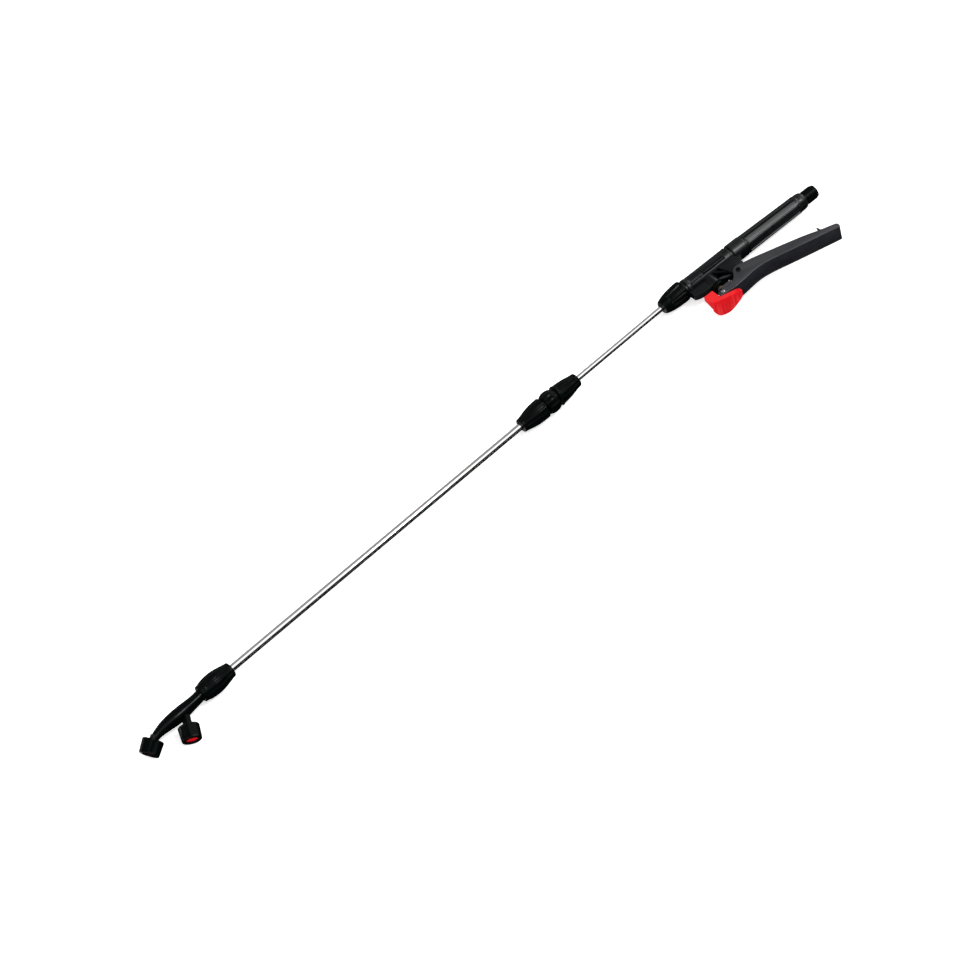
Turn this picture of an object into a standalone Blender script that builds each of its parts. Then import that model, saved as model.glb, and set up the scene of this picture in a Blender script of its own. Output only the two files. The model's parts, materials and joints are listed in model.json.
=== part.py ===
"""Telescopic sprayer lance with a trigger shut-off handle and a twin nozzle head, lying at rest on one side.

Units are metres.  The lance runs along X: nozzles at -X, hose inlet at +X.  Stations along the lance are counted
from the front face of the handle nut.  Two tilted frames hang on the lance: the handle frame, whose X is the grip's
axis, and the head frame of the nozzles.  In both, Y points away from the lever's side and Z out of the upper flank.
"""

import math
from collections import namedtuple

import bmesh
import bpy
from mathutils import Matrix, Vector

# ---------------------------------------------------------------- driving dimensions
AXIS_HEIGHT = 0.0155          # lance axis above the floor: the coupling barrel rests on it
HANDLE_ROLL = math.radians(18)    # the lever's side is raised by this much
HANDLE_BEND = math.radians(3)     # the grip leans towards the lever
BEND_STATION = 0.010
GAP = 0.0003                  # clearance between neighbouring pieces

REAR_TUBE_R = 0.00375
REAR_TUBE_WALL = 0.0006
REAR_TUBE_SPAN = (-0.607, 0.034)
FRONT_TUBE_R = 0.00475
FRONT_TUBE_WALL = 0.0006
FRONT_TUBE_SPAN = (-0.7870, -0.206)

HEAD_STATION = -0.7987        # front face of the head nut
PIVOT = (0.093, 0.038)        # lever pivot: along the grip, towards the lever
PIVOT_R = 0.0024
LEVER_HALF = 0.01225          # half width of the lever over its cheeks
CHEEK = 0.0025
STEM_X = 0.062                # valve boss and stem, along the grip
STEM_R = 0.0020
BOSS_R = 0.0088
CHAMBER_R = 0.0063
LOCK_PIN = (0.054, 0.0515)
GRIP_FRONT = 0.1105
GROOVE_LEAN = math.radians(0.7)   # the grip's grooves follow its taper
GROOVE_TURN = math.radians(6.3)   # first groove, off the top of the grip towards the lever
GRIP_REAR = 0.2400
INLET_END = 0.2610

SIDE_ANGLE = math.radians(63.4)   # nozzle axes, off the lance's forward direction
TIP_ANGLE = math.radians(31.6)
TIP_DIP = math.radians(12)        # the tip nozzle also points down a little
SIDE_BACK = (0.0385, 0.0210, 0)   # centre of each cap's rear face: forward, towards the lever's side, Z
TIP_BACK = (0.0822, 0.0065, 0.0022)
CAP_R = 0.0141
CAP_LENGTH = 0.0195
HEAD_ROLL = math.asin((AXIS_HEIGHT - CAP_R) / SIDE_BACK[1])   # the side cap's rim comes down to the floor
CAP_TAPER = CAP_LENGTH * math.tan(math.asin(math.sin(SIDE_ANGLE) * math.sin(HEAD_ROLL)))

# ---------------------------------------------------------------- colours and finishes
MATERIALS = {
    "black_plastic": ((0.012, 0.014, 0.016), 0.38, 0.0),
    "steel_tube": ((0.72, 0.72, 0.70), 0.12, 1.0),
    "red_plastic": ((0.62, 0.010, 0.015), 0.35, 0.0),
    "rubber_seal": ((0.02, 0.02, 0.02), 0.75, 0.0),
    "natural_plastic": ((0.62, 0.60, 0.54), 0.45, 0.0),
    "spring_steel": ((0.55, 0.55, 0.56), 0.30, 1.0),
    "brass": ((0.66, 0.48, 0.20), 0.30, 1.0),
}


def outward(turn, dip=0.0):
    """A nozzle's axis in the head frame: turned off the forward direction, and dipped."""
    return Vector((-math.cos(turn) * math.cos(dip), -math.sin(turn) * math.cos(dip), -math.sin(dip)))


SIDE_OUT = outward(SIDE_ANGLE)
TIP_OUT = outward(TIP_ANGLE, TIP_DIP)


def clear_scene():
    for old in list(bpy.data.objects):
        bpy.data.objects.remove(old, do_unlink=True)


def new_collection(name, rendered):
    made = bpy.data.collections.new(name)
    bpy.context.scene.collection.children.link(made)
    made.hide_render = not rendered
    return made


clear_scene()
PARTS = new_collection("sprayer_lance", True)
CUTTERS = new_collection("cutters", False)


def empty(name, location, rotation, parent=None):
    made = bpy.data.objects.new(name, None)
    PARTS.objects.link(made)
    made.location = location
    made.rotation_euler = rotation
    made.parent = parent
    return made


LANCE = empty("lance_frame", (0, 0, 0), (0, 0, 0))
HANDLE_ROLLED = empty("handle_roll", (BEND_STATION, 0, 0), (-HANDLE_ROLL, 0, 0), LANCE)
HANDLE = empty("handle_frame", (0, 0, 0), (0, 0, -HANDLE_BEND), HANDLE_ROLLED)
HEAD = empty("head_frame", (HEAD_STATION, 0, 0), (HEAD_ROLL, 0, 0), LANCE)
ALONG_X = (0, math.pi / 2, 0)


def material(name, kind):
    colour, roughness, metallic = MATERIALS[kind]
    made = bpy.data.materials.new(name)
    made.use_nodes = True
    shader = made.node_tree.nodes["Principled BSDF"]
    shader.inputs["Base Color"].default_value = (*colour, 1.0)
    shader.inputs["Roughness"].default_value = roughness
    shader.inputs["Metallic"].default_value = metallic
    return made


def place(obj, parent, location=(0, 0, 0), rotation=(0, 0, 0)):
    obj.parent = parent
    obj.location = location
    obj.rotation_euler = rotation
    return obj


def as_part(obj, kind):
    """Keeps the object as a node of the model, with a material of its own."""
    for home in list(obj.users_collection):
        home.objects.unlink(obj)
    PARTS.objects.link(obj)
    obj.data.materials.clear()
    obj.data.materials.append(material(obj.name, kind))
    return obj


def as_cutter(obj):
    for home in list(obj.users_collection):
        home.objects.unlink(obj)
    CUTTERS.objects.link(obj)
    obj.hide_render = True
    obj.display_type = "WIRE"
    return obj


def mesh_object(name, bm):
    bmesh.ops.recalc_face_normals(bm, faces=bm.faces)
    data = bpy.data.meshes.new(name)
    bm.to_mesh(data)
    bm.free()
    made = bpy.data.objects.new(name, data)
    PARTS.objects.link(made)
    return made


# ---------------------------------------------------------------- shapes
def turned(name, outer, inner=(), steps=32):
    """A turned piece.  outer and inner are (station, radius) points in rising station; the axis is local Z."""
    loop = [(r, z) for z, r in reversed(outer)]
    if inner:
        loop += [(r, z) for z, r in inner]
    else:
        loop = [(0.0, outer[-1][0])] + loop + [(0.0, outer[0][0])]
    data = bpy.data.meshes.new(name)
    count = len(loop)
    edges = [(i, i + 1) for i in range(count - 1)]
    if inner:
        edges.append((count - 1, 0))
    data.from_pydata([(r, 0.0, z) for r, z in loop], edges, [])
    made = bpy.data.objects.new(name, data)
    PARTS.objects.link(made)
    screw = made.modifiers.new("turn", "SCREW")
    screw.axis = "Z"
    screw.steps = steps
    screw.render_steps = steps
    screw.use_merge_vertices = True
    screw.merge_threshold = 0.00001
    screw.use_smooth_shade = True
    return made


def on_axis(obj, parent, station=0.0, sideways=0.0):
    """Lays a turned piece along the X axis of a frame; its profile's plane points down."""
    return place(obj, parent, (station, -sideways, 0), ALONG_X)


def towards_lever(obj, parent, station):
    """Stands a turned piece on the grip's axis with its own axis pointing to the lever."""
    return place(obj, parent, (station, 0, 0), (math.pi / 2, 0, 0))


def across(obj, parent, point):
    """Lays a turned piece across the handle, through a point given as (station, height towards the lever)."""
    return place(obj, parent, (point[0], -point[1], 0), (0, 0, 0))


def baked(obj):
    """Turns a curve or a modified object into a plain mesh object with welded caps."""
    bpy.context.view_layer.update()
    graph = bpy.context.evaluated_depsgraph_get()
    data = bpy.data.meshes.new_from_object(obj.evaluated_get(graph))
    bm = bmesh.new()
    bm.from_mesh(data)
    bmesh.ops.remove_doubles(bm, verts=bm.verts, dist=0.000002)
    bmesh.ops.recalc_face_normals(bm, faces=bm.faces)
    bm.to_mesh(data)
    bm.free()
    made = bpy.data.objects.new(obj.name, data)
    PARTS.objects.link(made)
    made.parent = obj.parent
    made.location = obj.location
    made.rotation_euler = obj.rotation_euler
    name = obj.name
    bpy.data.objects.remove(obj, do_unlink=True)
    made.name = name
    return made


def plate(name, outline, low, high, parent):
    """A flat piece: an outline of (station, height towards the lever) points, between two levels of Z."""
    curve = bpy.data.curves.new(name, "CURVE")
    curve.dimensions = "2D"
    curve.fill_mode = "BOTH"
    curve.extrude = (high - low) / 2
    spline = curve.splines.new("POLY")
    spline.points.add(len(outline) - 1)
    for point, (x, p) in zip(spline.points, outline):
        point.co = (x, -p, 0.0, 1.0)
    spline.use_cyclic_u = True
    made = bpy.data.objects.new(name, curve)
    PARTS.objects.link(made)
    place(made, parent, (0, 0, (high + low) / 2))
    return baked(made)


def facing(name, outline, low, high, parent):
    """A flat piece facing the lever's side: an outline of (station, Z) points, between two heights."""
    made = plate(name, outline, low, high, parent)
    return place(made, parent, (0, -(low + high) / 2, 0), (-math.pi / 2, 0, 0))


def endways(name, outline, low, high, parent):
    """A flat piece facing along the grip: an outline of (towards the lever, Z) points, between two stations."""
    bm = bmesh.new()
    base = bm.faces.new([bm.verts.new((low, -p, z)) for p, z in outline])
    raised = bmesh.ops.extrude_face_region(bm, geom=[base])
    bmesh.ops.translate(bm, verts=[v for v in raised["geom"] if isinstance(v, bmesh.types.BMVert)],
                        vec=(high - low, 0, 0))
    return place(mesh_object(name, bm), parent)


def box(name, low, high, parent):
    """A box between two corners given as (station, height towards the lever, Z)."""
    bm = bmesh.new()
    bmesh.ops.create_cube(bm, size=1.0)
    size = Vector((high[0] - low[0], high[1] - low[1], high[2] - low[2]))
    centre = Vector(((high[0] + low[0]) / 2, -(high[1] + low[1]) / 2, (high[2] + low[2]) / 2))
    bmesh.ops.scale(bm, vec=size, verts=bm.verts)
    bmesh.ops.translate(bm, vec=centre, verts=bm.verts)
    return place(mesh_object(name, bm), parent)


def path_tube(name, points, radii, parent, sides=3):
    """A bent round bar whose radius changes along a smooth path of (forward, towards the lever, Z) points."""
    curve = bpy.data.curves.new(name, "CURVE")
    curve.dimensions = "3D"
    curve.bevel_depth = 1.0
    curve.bevel_resolution = sides
    curve.use_fill_caps = True
    spline = curve.splines.new("POLY")
    spline.points.add(len(points) - 1)
    for point, place_at, radius in zip(spline.points, points, radii):
        point.co = (-place_at[0], -place_at[1], place_at[2], 1.0)
        point.radius = radius
    made = bpy.data.objects.new(name, curve)
    PARTS.objects.link(made)
    place(made, parent)
    return baked(made)


def smooth_path(knots, per_span):
    """Points on a Catmull-Rom curve through knots; every knot is a tuple of numbers."""
    ends = [tuple(2 * a - b for a, b in zip(knots[0], knots[1]))]
    ends += list(knots)
    ends.append(tuple(2 * a - b for a, b in zip(knots[-1], knots[-2])))
    found = []
    for i in range(1, len(ends) - 2):
        for k in range(per_span):
            t = k / per_span
            found.append(tuple(
                0.5 * (2 * b + (c - a) * t + (2 * a - 5 * b + 4 * c - d) * t**2 + (3 * b - a - 3 * c + d) * t**3)
                for a, b, c, d in zip(ends[i - 1], ends[i], ends[i + 1], ends[i + 2])
            ))
    found.append(tuple(knots[-1]))
    return found


def combine(obj, operand, operation):
    step = obj.modifiers.new(operand.name, "BOOLEAN")
    step.operation = operation
    step.solver = "EXACT"
    step.object = operand
    as_cutter(operand)
    return obj


def cut(obj, operand):
    return combine(obj, operand, "DIFFERENCE")


def add(obj, operand):
    return combine(obj, operand, "UNION")


def profile_radius(profile, station):
    """Radius of a profile of (station, radius) points at a station between them."""
    for (z0, r0), (z1, r1) in zip(profile, profile[1:]):
        if z0 <= station <= z1:
            return r0 + (r1 - r0) * (station - z0) / (z1 - z0)
    return profile[0][1] if station < profile[0][0] else profile[-1][1]


def flutes(name, profile, groove, parent, spans=5, sides=8):
    """A ring of round groove cutters that follow a turned profile and run out of it at both ends."""
    stations = [groove.first + (groove.last - groove.first) * k / spans for k in range(spans + 1)]
    rise = groove.radius - groove.depth
    line = [(z, profile_radius(profile, z) + rise) for z in stations]
    run_out = 1.6 * groove.depth
    line[0] = (line[0][0], line[0][1] + run_out)
    line[-1] = (line[-1][0], line[-1][1] + run_out)
    bm = bmesh.new()
    for k in range(groove.count):
        turn = Matrix.Rotation(2 * math.pi * (k + 0.5) / groove.count, 3, "X")
        rings = []
        for station, height in line:
            ring = []
            for j in range(sides):
                angle = 2 * math.pi * (j + 0.5) / sides
                point = Vector((station, groove.radius * math.sin(angle), -height + groove.radius * math.cos(angle)))
                ring.append(bm.verts.new(turn @ point))
            rings.append(ring)
        bm.faces.new(rings[0])
        bm.faces.new(rings[-1])
        for near, far in zip(rings, rings[1:]):
            for j in range(sides):
                bm.faces.new((near[j], near[j - 1], far[j - 1], far[j]))
    return place(mesh_object(name, bm), parent)


def ring_seal(name, major, minor, steps=16, sides=6):
    """An O-ring: a small circle turned about the axis."""
    half = sides // 2
    angles = [math.pi * (k / half - 0.5) for k in range(half + 1)]
    outer = [(minor * math.sin(a), major + minor * math.cos(a)) for a in angles]
    inner = [(minor * math.sin(a), major - minor * math.cos(a)) for a in angles[1:-1]]
    return turned(name, outer, inner, steps)


# ---------------------------------------------------------------- clamp nuts, collets and seals
Groove = namedtuple("Groove", "count first last depth radius")
Nut = namedtuple("Nut", "face seat back tube_r thread_r")
FACE_LENGTH = 0.005           # length of a nut's plain hole, from its small face to the foot of its cone
HANDLE_NUT = Nut(0.0, 0.0145, 0.0380, REAR_TUBE_R, 0.0094)
COUPLING_FRONT_NUT = Nut(-0.2540, -0.2410, -0.2150, FRONT_TUBE_R, 0.0097)
COUPLING_REAR_NUT = Nut(-0.1550, -0.1710, -0.1910, REAR_TUBE_R, 0.0097)
HEAD_NUT = Nut(-0.7486, -0.7640, -0.7987, FRONT_TUBE_R, 0.0092)


def cone_foot(nut):
    return nut.face + math.copysign(FACE_LENGTH, nut.back - nut.face)


def cone_radius(nut, share):
    """Radius inside the nut's cone, at a share of the way from its foot to its seat."""
    small = nut.tube_r + GAP
    return small + (nut.thread_r - small) * share


def clamp_nut(name, nut, outer, groove, steps=24):
    """A fluted compression nut; outer is its outside profile in rising station."""
    inner = [(nut.face, cone_radius(nut, 0)), (cone_foot(nut), cone_radius(nut, 0)),
             (nut.seat, nut.thread_r), (nut.back, nut.thread_r)]
    if nut.back < nut.face:
        inner.reverse()
    made = on_axis(turned(name, outer, inner, steps), LANCE)
    cut(made, flutes(name + "_flutes", outer, groove, LANCE))
    return as_part(made, "black_plastic")


def collet(name, nut):
    """A split compression cone between a nut and its tube."""
    shares = (0.25, 0.97)
    foot = cone_foot(nut)
    ends = sorted((foot + (nut.seat - foot) * share, cone_radius(nut, share) - 1.4 * GAP) for share in shares)
    sleeve = [(station, nut.tube_r + GAP) for station, _ in ends]
    cone = on_axis(turned(name, ends, sleeve, 16), LANCE)
    slot = box(name + "_slot", (ends[0][0] - 0.001, -0.0006, 0), (ends[1][0] + 0.001, 0.0006, 0.012), LANCE)
    cut(cone, slot)
    return as_part(cone, "natural_plastic")


def seal(name, tube_r, station, minor=0.0009):
    ring = ring_seal(name, tube_r + GAP + minor, minor)
    return as_part(on_axis(ring, LANCE, station), "rubber_seal")


# ---------------------------------------------------------------- handle
def handle_nut():
    outer = [(0.0, 0.0088), (0.0012, 0.0098), (0.005, 0.0111), (0.011, 0.0125), (0.017, 0.0134),
             (0.024, 0.0141), (0.031, 0.0145), (0.0365, 0.0145), (0.038, 0.0137)]
    clamp_nut("handle_nut", HANDLE_NUT, outer, Groove(14, 0.010, 0.0355, 0.0010, 0.0018))
    collet("handle_collet", HANDLE_NUT)
    seal("handle_o_ring", REAR_TUBE_R, 0.0172)


def valve_body():
    """Casing of the shut-off valve: front spigot, round core, keel, valve boss, pivot ears and rear spigot."""
    core = [(0.0288, 0.0112), (0.0312, 0.0112), (0.0318, 0.0133), (0.0365, 0.0133), (0.0372, 0.0128),
            (0.060, 0.0129), (0.100, 0.0134), (0.1068, 0.0136), (0.1076, 0.0124), (0.1102, 0.0124),
            (0.1103, 0.0106), (0.1238, 0.0106)]
    body = baked(on_axis(turned("valve_body", core, steps=28), HANDLE))
    spigot = on_axis(turned("body_front_spigot", [(0.0157, 0.0090), (0.0420, 0.0090)], steps=24), LANCE)
    add(body, spigot)
    keel = [(0.0290, 0.004), (0.0290, 0.0210), (0.0330, 0.0238), (0.0430, 0.0264), (0.0520, 0.0270),
            (0.0600, 0.0270), (0.0600, 0.004)]
    add(body, plate("body_keel", keel, -0.0050, 0.0050, HANDLE))
    boss = turned("body_boss", [(0.0, BOSS_R), (0.0270, BOSS_R)], steps=28)
    add(body, towards_lever(boss, HANDLE, STEM_X))
    ear = [(0.0790, 0.008), (0.0860, 0.0290), (0.0868, 0.0405), (0.0900, 0.0440), (0.0950, 0.0445),
           (0.0990, 0.0415), (0.1010, 0.0335), (0.1172, 0.0152), (0.1098, 0.0149), (0.1060, 0.008)]
    for side, name in ((1, "body_ear_upper"), (-1, "body_ear_lower")):
        low, high = sorted((side * 0.0045, side * (LEVER_HALF - CHEEK - 0.00035)))
        add(body, plate(name, ear, low, high, HANDLE))
    gusset = [(0.0700, 0.0100), (0.0880, 0.0100), (0.0865, 0.0235), (0.0790, 0.0262), (0.0700, 0.0262)]
    add(body, plate("body_gusset", gusset, -0.0094, -0.0074, HANDLE))
    add(body, box("body_pad", (0.060, -0.0005, 0.008), (0.097, 0.0078, 0.0142), HANDLE))
    add(body, box("body_bead", (0.036, 0.0068, 0.008), (0.061, 0.0078, 0.0118), HANDLE))
    cut(body, box("body_pad_groove", (0.0612, 0.0046, 0.0134), (0.0960, 0.0066, 0.0160), HANDLE))
    cut(body, on_axis(turned("body_bore", [(0.0300, 0.0045), (0.130, 0.0045)], steps=20), HANDLE))
    tube_hole = [(0.010, 0.0061), (0.0185, 0.0061), (0.0186, REAR_TUBE_R + GAP), (0.0420, REAR_TUBE_R + GAP)]
    cut(body, on_axis(turned("body_tube_hole", tube_hole, steps=24), LANCE))
    chamber = turned("body_chamber", [(-0.0070, CHAMBER_R), (0.0300, CHAMBER_R)], steps=24)
    cut(body, towards_lever(chamber, HANDLE, STEM_X))
    hole = turned("body_pin_hole", [(-0.02, PIVOT_R + GAP), (0.02, PIVOT_R + GAP)], steps=20)
    cut(body, across(hole, HANDLE, PIVOT))
    return as_part(body, "black_plastic")


def valve_insides():
    """The pull valve: seat, stem with its disc and collar, spring, gland, seal and stem nut."""
    seat = turned("valve_seat", [(-0.0067, 0.0060), (-0.0047, 0.0060)],
                  [(-0.0067, 0.0031), (-0.0047, 0.0031)], 24)
    as_part(towards_lever(seat, HANDLE, STEM_X), "brass")
    stem = [(-0.0043, 0.0050), (-0.0020, 0.0050), (-0.0019, STEM_R), (0.0355, STEM_R), (0.0356, 0.0046),
            (0.0380, 0.0046), (0.0381, STEM_R), (0.0490, STEM_R)]
    as_part(towards_lever(turned("valve_stem", stem, steps=14), HANDLE, STEM_X), "brass")
    gland = [(0.0215, 0.0060), (0.0272, 0.0060), (0.0273, BOSS_R), (0.0325, BOSS_R), (0.0330, 0.0083)]
    packing = [(0.0215, STEM_R + GAP), (0.0300, STEM_R + GAP), (0.0301, 0.0042), (0.0330, 0.0042)]
    as_part(towards_lever(turned("gland_cap", gland, packing, 20), HANDLE, STEM_X), "black_plastic")
    ring = ring_seal("stem_o_ring", STEM_R + GAP + 0.0007, 0.0007)
    towards_lever(ring, HANDLE, STEM_X)
    ring.location = (STEM_X, -0.0314, 0)
    as_part(ring, "rubber_seal")
    nut = turned("stem_nut", [(0.0448, 0.0036), (0.0485, 0.0036)],
                 [(0.0448, STEM_R + GAP), (0.0485, STEM_R + GAP)], 12)
    as_part(towards_lever(nut, HANDLE, STEM_X), "brass")
    valve_spring()


def valve_spring():
    """Compression spring between the disc and the gland."""
    turns, per_turn, coil_r, wire_r = 6, 9, 0.0046, 0.00055
    low, high = -0.0010, 0.0206
    points = []
    for k in range(turns * per_turn + 1):
        angle = 2 * math.pi * k / per_turn
        along = low + (high - low) * k / (turns * per_turn)
        points.append((-(STEM_X + coil_r * math.cos(angle)), along, coil_r * math.sin(angle)))
    spring = path_tube("valve_spring", points, [wire_r] * len(points), HANDLE, 1)
    as_part(spring, "spring_steel")


def grip():
    """Grip sleeve screwed on the valve body, its seal, the filter in it and the threaded hose inlet."""
    outer = [(GRIP_FRONT, 0.0134), (0.1120, 0.0141), (0.1330, 0.0141), (0.1345, 0.0137), (0.160, 0.0134),
             (0.195, 0.0130), (0.2270, 0.0126), (0.2285, 0.0121), (0.2350, 0.0119), (GRIP_REAR, 0.0106)]
    inner = [(GRIP_FRONT, 0.0109), (0.1262, 0.0109), (0.1263, 0.0095), (0.2310, 0.0095), (0.2311, 0.0079),
             (GRIP_REAR, 0.0079)]
    sleeve = on_axis(turned("grip_sleeve", outer, inner, 24), HANDLE)
    grooves = bmesh.new()
    for k in range(8):
        turn = Matrix.Rotation(GROOVE_TURN + 2 * math.pi * k / 8, 4, "X")
        centre = Matrix.Translation((0.1805, 0, 0.0143)) @ Matrix.Rotation(GROOVE_LEAN, 4, "Y")
        bmesh.ops.create_cube(grooves, size=1.0,
                              matrix=turn @ centre @ Matrix.Diagonal((0.090, 0.0029, 0.0056, 1)))
    cut(sleeve, place(mesh_object("grip_grooves", grooves), HANDLE))
    as_part(sleeve, "black_plastic")
    seal_ring = ring_seal("grip_seal", 0.0098, 0.0009)
    as_part(on_axis(seal_ring, HANDLE, 0.1250), "rubber_seal")
    screen = turned("inlet_filter", [(0.1300, 0.0078), (0.1330, 0.0078), (0.1331, 0.0066), (0.2200, 0.0062)],
                    [(0.1300, 0.0056), (0.2180, 0.0052), (0.2200, 0.0010)], 12)
    on_axis(screen, HANDLE)
    for k in range(2):
        slot = bmesh.new()
        for j in range(4):
            centre = Matrix.Translation((0.148 + 0.018 * j, 0, 0))
            turn = Matrix.Rotation(math.pi * (k + 0.5) / 2, 4, "X")
            bmesh.ops.create_cube(slot, size=1.0, matrix=turn @ centre @ Matrix.Diagonal((0.010, 0.0030, 0.03, 1)))
        cut(screen, place(mesh_object(f"filter_slots_{k}", slot), HANDLE))
    as_part(screen, "natural_plastic")
    hose_inlet()


def hose_inlet():
    """Threaded tail that takes the hose nut; ridges stand for the thread."""
    outer = [(0.2250, 0.0076), (0.2403, 0.0076), (0.2404, 0.0094)]
    crest, root, first, pitch = 0.0098, 0.0089, 0.2425, 0.0032
    for k in range(5):
        start = first + k * pitch
        outer += [(start, root), (start + 0.0008, crest), (start + 0.0016, crest), (start + 0.0024, root)]
    outer += [(0.2590, 0.0092), (INLET_END, 0.0092)]
    bore = [(0.2250, 0.0052), (INLET_END, 0.0052)]
    as_part(on_axis(turned("hose_inlet", outer, bore, 20), HANDLE), "black_plastic")


LEVER_OUTER = [(0.0470, 0.0548), (0.0580, 0.0562), (0.0700, 0.0575), (0.0830, 0.0572), (0.0960, 0.0558),
               (0.1090, 0.0547), (0.1200, 0.0553), (0.1300, 0.0572), (0.1430, 0.0604), (0.1620, 0.0659),
               (0.1830, 0.0716), (0.2100, 0.0789), (0.2280, 0.0838)]
LEVER_NOSE = [(0.2308, 0.0836), (0.2322, 0.0818), (0.2325, 0.0790), (0.2308, 0.0760)]
LEVER_INNER = [(0.2270, 0.0746), (0.2090, 0.0678), (0.1910, 0.0602), (0.1570, 0.0483), (0.1350, 0.0410),
               (0.1200, 0.0358), (0.1110, 0.0338), (0.1030, 0.0314), (0.0970, 0.0304), (0.0905, 0.0310),
               (0.0865, 0.0345), (0.0820, 0.0410), (0.0760, 0.0456), (0.0670, 0.0482), (0.0550, 0.0478),
               (0.0480, 0.0490)]


def lever():
    """Channel-shaped trigger: outer web, two cheeks, a bridge that lifts the stem nut, and a small prong."""
    outline = LEVER_OUTER + LEVER_NOSE + LEVER_INNER
    trigger = plate("lever", outline, -LEVER_HALF, LEVER_HALF, HANDLE)
    web = 0.0028
    hollow = [(0.0400, LEVER_OUTER[0][1] - web)] + [(x, p - web) for x, p in LEVER_OUTER[:-1]]
    hollow += [(0.2290, 0.0800), (0.2290, 0.0600), (0.1200, 0.0200), (0.0400, 0.0200)]
    inside = LEVER_HALF - CHEEK
    cut(trigger, plate("lever_hollow", hollow, -inside, inside, HANDLE))
    add(trigger, box("lever_bridge", (0.0545, 0.0400, -0.0085), (0.0760, 0.0422, 0.0085), HANDLE))
    for side in (-1, 1):
        low, high = sorted((side * 0.0062, side * 0.0085))
        add(trigger, box(f"lever_rib_{side + 1}", (0.0585, 0.0410, low), (0.0755, 0.0560, high), HANDLE))
    cut(trigger, box("lever_stem_slot", (0.0560, 0.0350, -0.0026), (0.0652, 0.0430, 0.0026), HANDLE))
    cut(trigger, box("lever_lock_slot", (0.0400, 0.0450, -0.0072), (0.0578, 0.0600, 0.0072), HANDLE))
    add(trigger, prong())
    hole = turned("lever_pin_hole", [(-0.02, PIVOT_R + GAP), (0.02, PIVOT_R + GAP)], steps=20)
    cut(trigger, across(hole, HANDLE, PIVOT))
    lock_hole = turned("lever_lock_hole", [(-0.02, 0.0018), (0.02, 0.0018)], steps=16)
    cut(trigger, across(lock_hole, HANDLE, LOCK_PIN))
    return as_part(trigger, "black_plastic")


def prong():
    """Small hooked prong on the inner edge of the lever's upper cheek."""
    outline = [(0.2075, 0.0720), (0.2078, 0.0640), (0.2095, 0.0612), (0.2105, 0.0640), (0.2112, 0.0720)]
    return plate("lever_prong", outline, LEVER_HALF - CHEEK, LEVER_HALF - 0.0004, HANDLE)


def pin(name, radius, head_r, half, point, kind, head=0.0014, steps=20):
    """A pin with a head at each end, across the handle."""
    profile = [(-half - head, head_r), (-half, head_r), (-half + 0.00001, radius),
               (half - 0.00001, radius), (half, head_r), (half + head, head_r)]
    return as_part(across(turned(name, profile, steps=steps), HANDLE, point), kind)


def lock():
    """Red latch at the lever's front end: a leg towards the body, a lug on the pin and a thumb paddle."""
    side = [(0.0304, 0.0562), (0.0450, 0.0562), (0.0560, 0.0592), (0.0670, 0.0622), (0.0705, 0.0645),
            (0.0722, 0.0690), (0.0705, 0.0705), (0.0620, 0.0682), (0.0500, 0.0652), (0.0400, 0.0622),
            (0.0335, 0.0598), (0.0304, 0.0575)]
    latch = plate("lever_lock", side, -0.0142, 0.0135, HANDLE)
    face = [(0.0286, 0.0160), (0.0286, 0.0020), (0.0321, -0.0070), (0.0360, -0.0122), (0.0425, -0.0138),
            (0.0500, -0.0136), (0.0560, -0.0108), (0.0625, -0.0054), (0.0690, 0.0015), (0.0716, 0.0065),
            (0.0724, 0.0100), (0.0712, 0.0126), (0.0690, 0.0140), (0.0690, 0.0160)]
    combine(latch, facing("lock_face", face, 0.0500, 0.0800, HANDLE), "INTERSECT")
    leg = [(0.0405, 0.0130), (0.0405, 0.0060), (0.0575, -0.0005), (0.0575, 0.0130)]
    add(latch, endways("lock_leg", leg, 0.0308, 0.0452, HANDLE))
    lug = [(0.0440, 0.0490), (0.0550, 0.0485), (0.0575, 0.0515), (0.0555, 0.0545), (0.0535, 0.0600),
           (0.0440, 0.0600)]
    add(latch, plate("lock_lug", lug, -0.0050, 0.0068, HANDLE))
    hole = turned("lock_pin_hole", [(-0.02, 0.0018), (0.02, 0.0018)], steps=16)
    cut(latch, across(hole, HANDLE, LOCK_PIN))
    return as_part(latch, "red_plastic")


# ---------------------------------------------------------------- lance
def hollow_tube(name, span, radius, wall):
    outer = [(span[0], radius), (span[1], radius)]
    inner = [(span[0], radius - wall), (span[1], radius - wall)]
    return as_part(on_axis(turned(name, outer, inner, 24), LANCE), "steel_tube")


def lance_tubes():
    hollow_tube("rear_tube", REAR_TUBE_SPAN, REAR_TUBE_R, REAR_TUBE_WALL)
    hollow_tube("front_tube", FRONT_TUBE_SPAN, FRONT_TUBE_R, FRONT_TUBE_WALL)
    start = REAR_TUBE_SPAN[0] - 0.0093
    bush = turned("guide_bush", [(start, 0.00375), (start + 0.0090, 0.00375)],
                  [(start, 0.0020), (start + 0.0090, 0.0020)], 20)
    as_part(on_axis(bush, LANCE), "natural_plastic")


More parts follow.
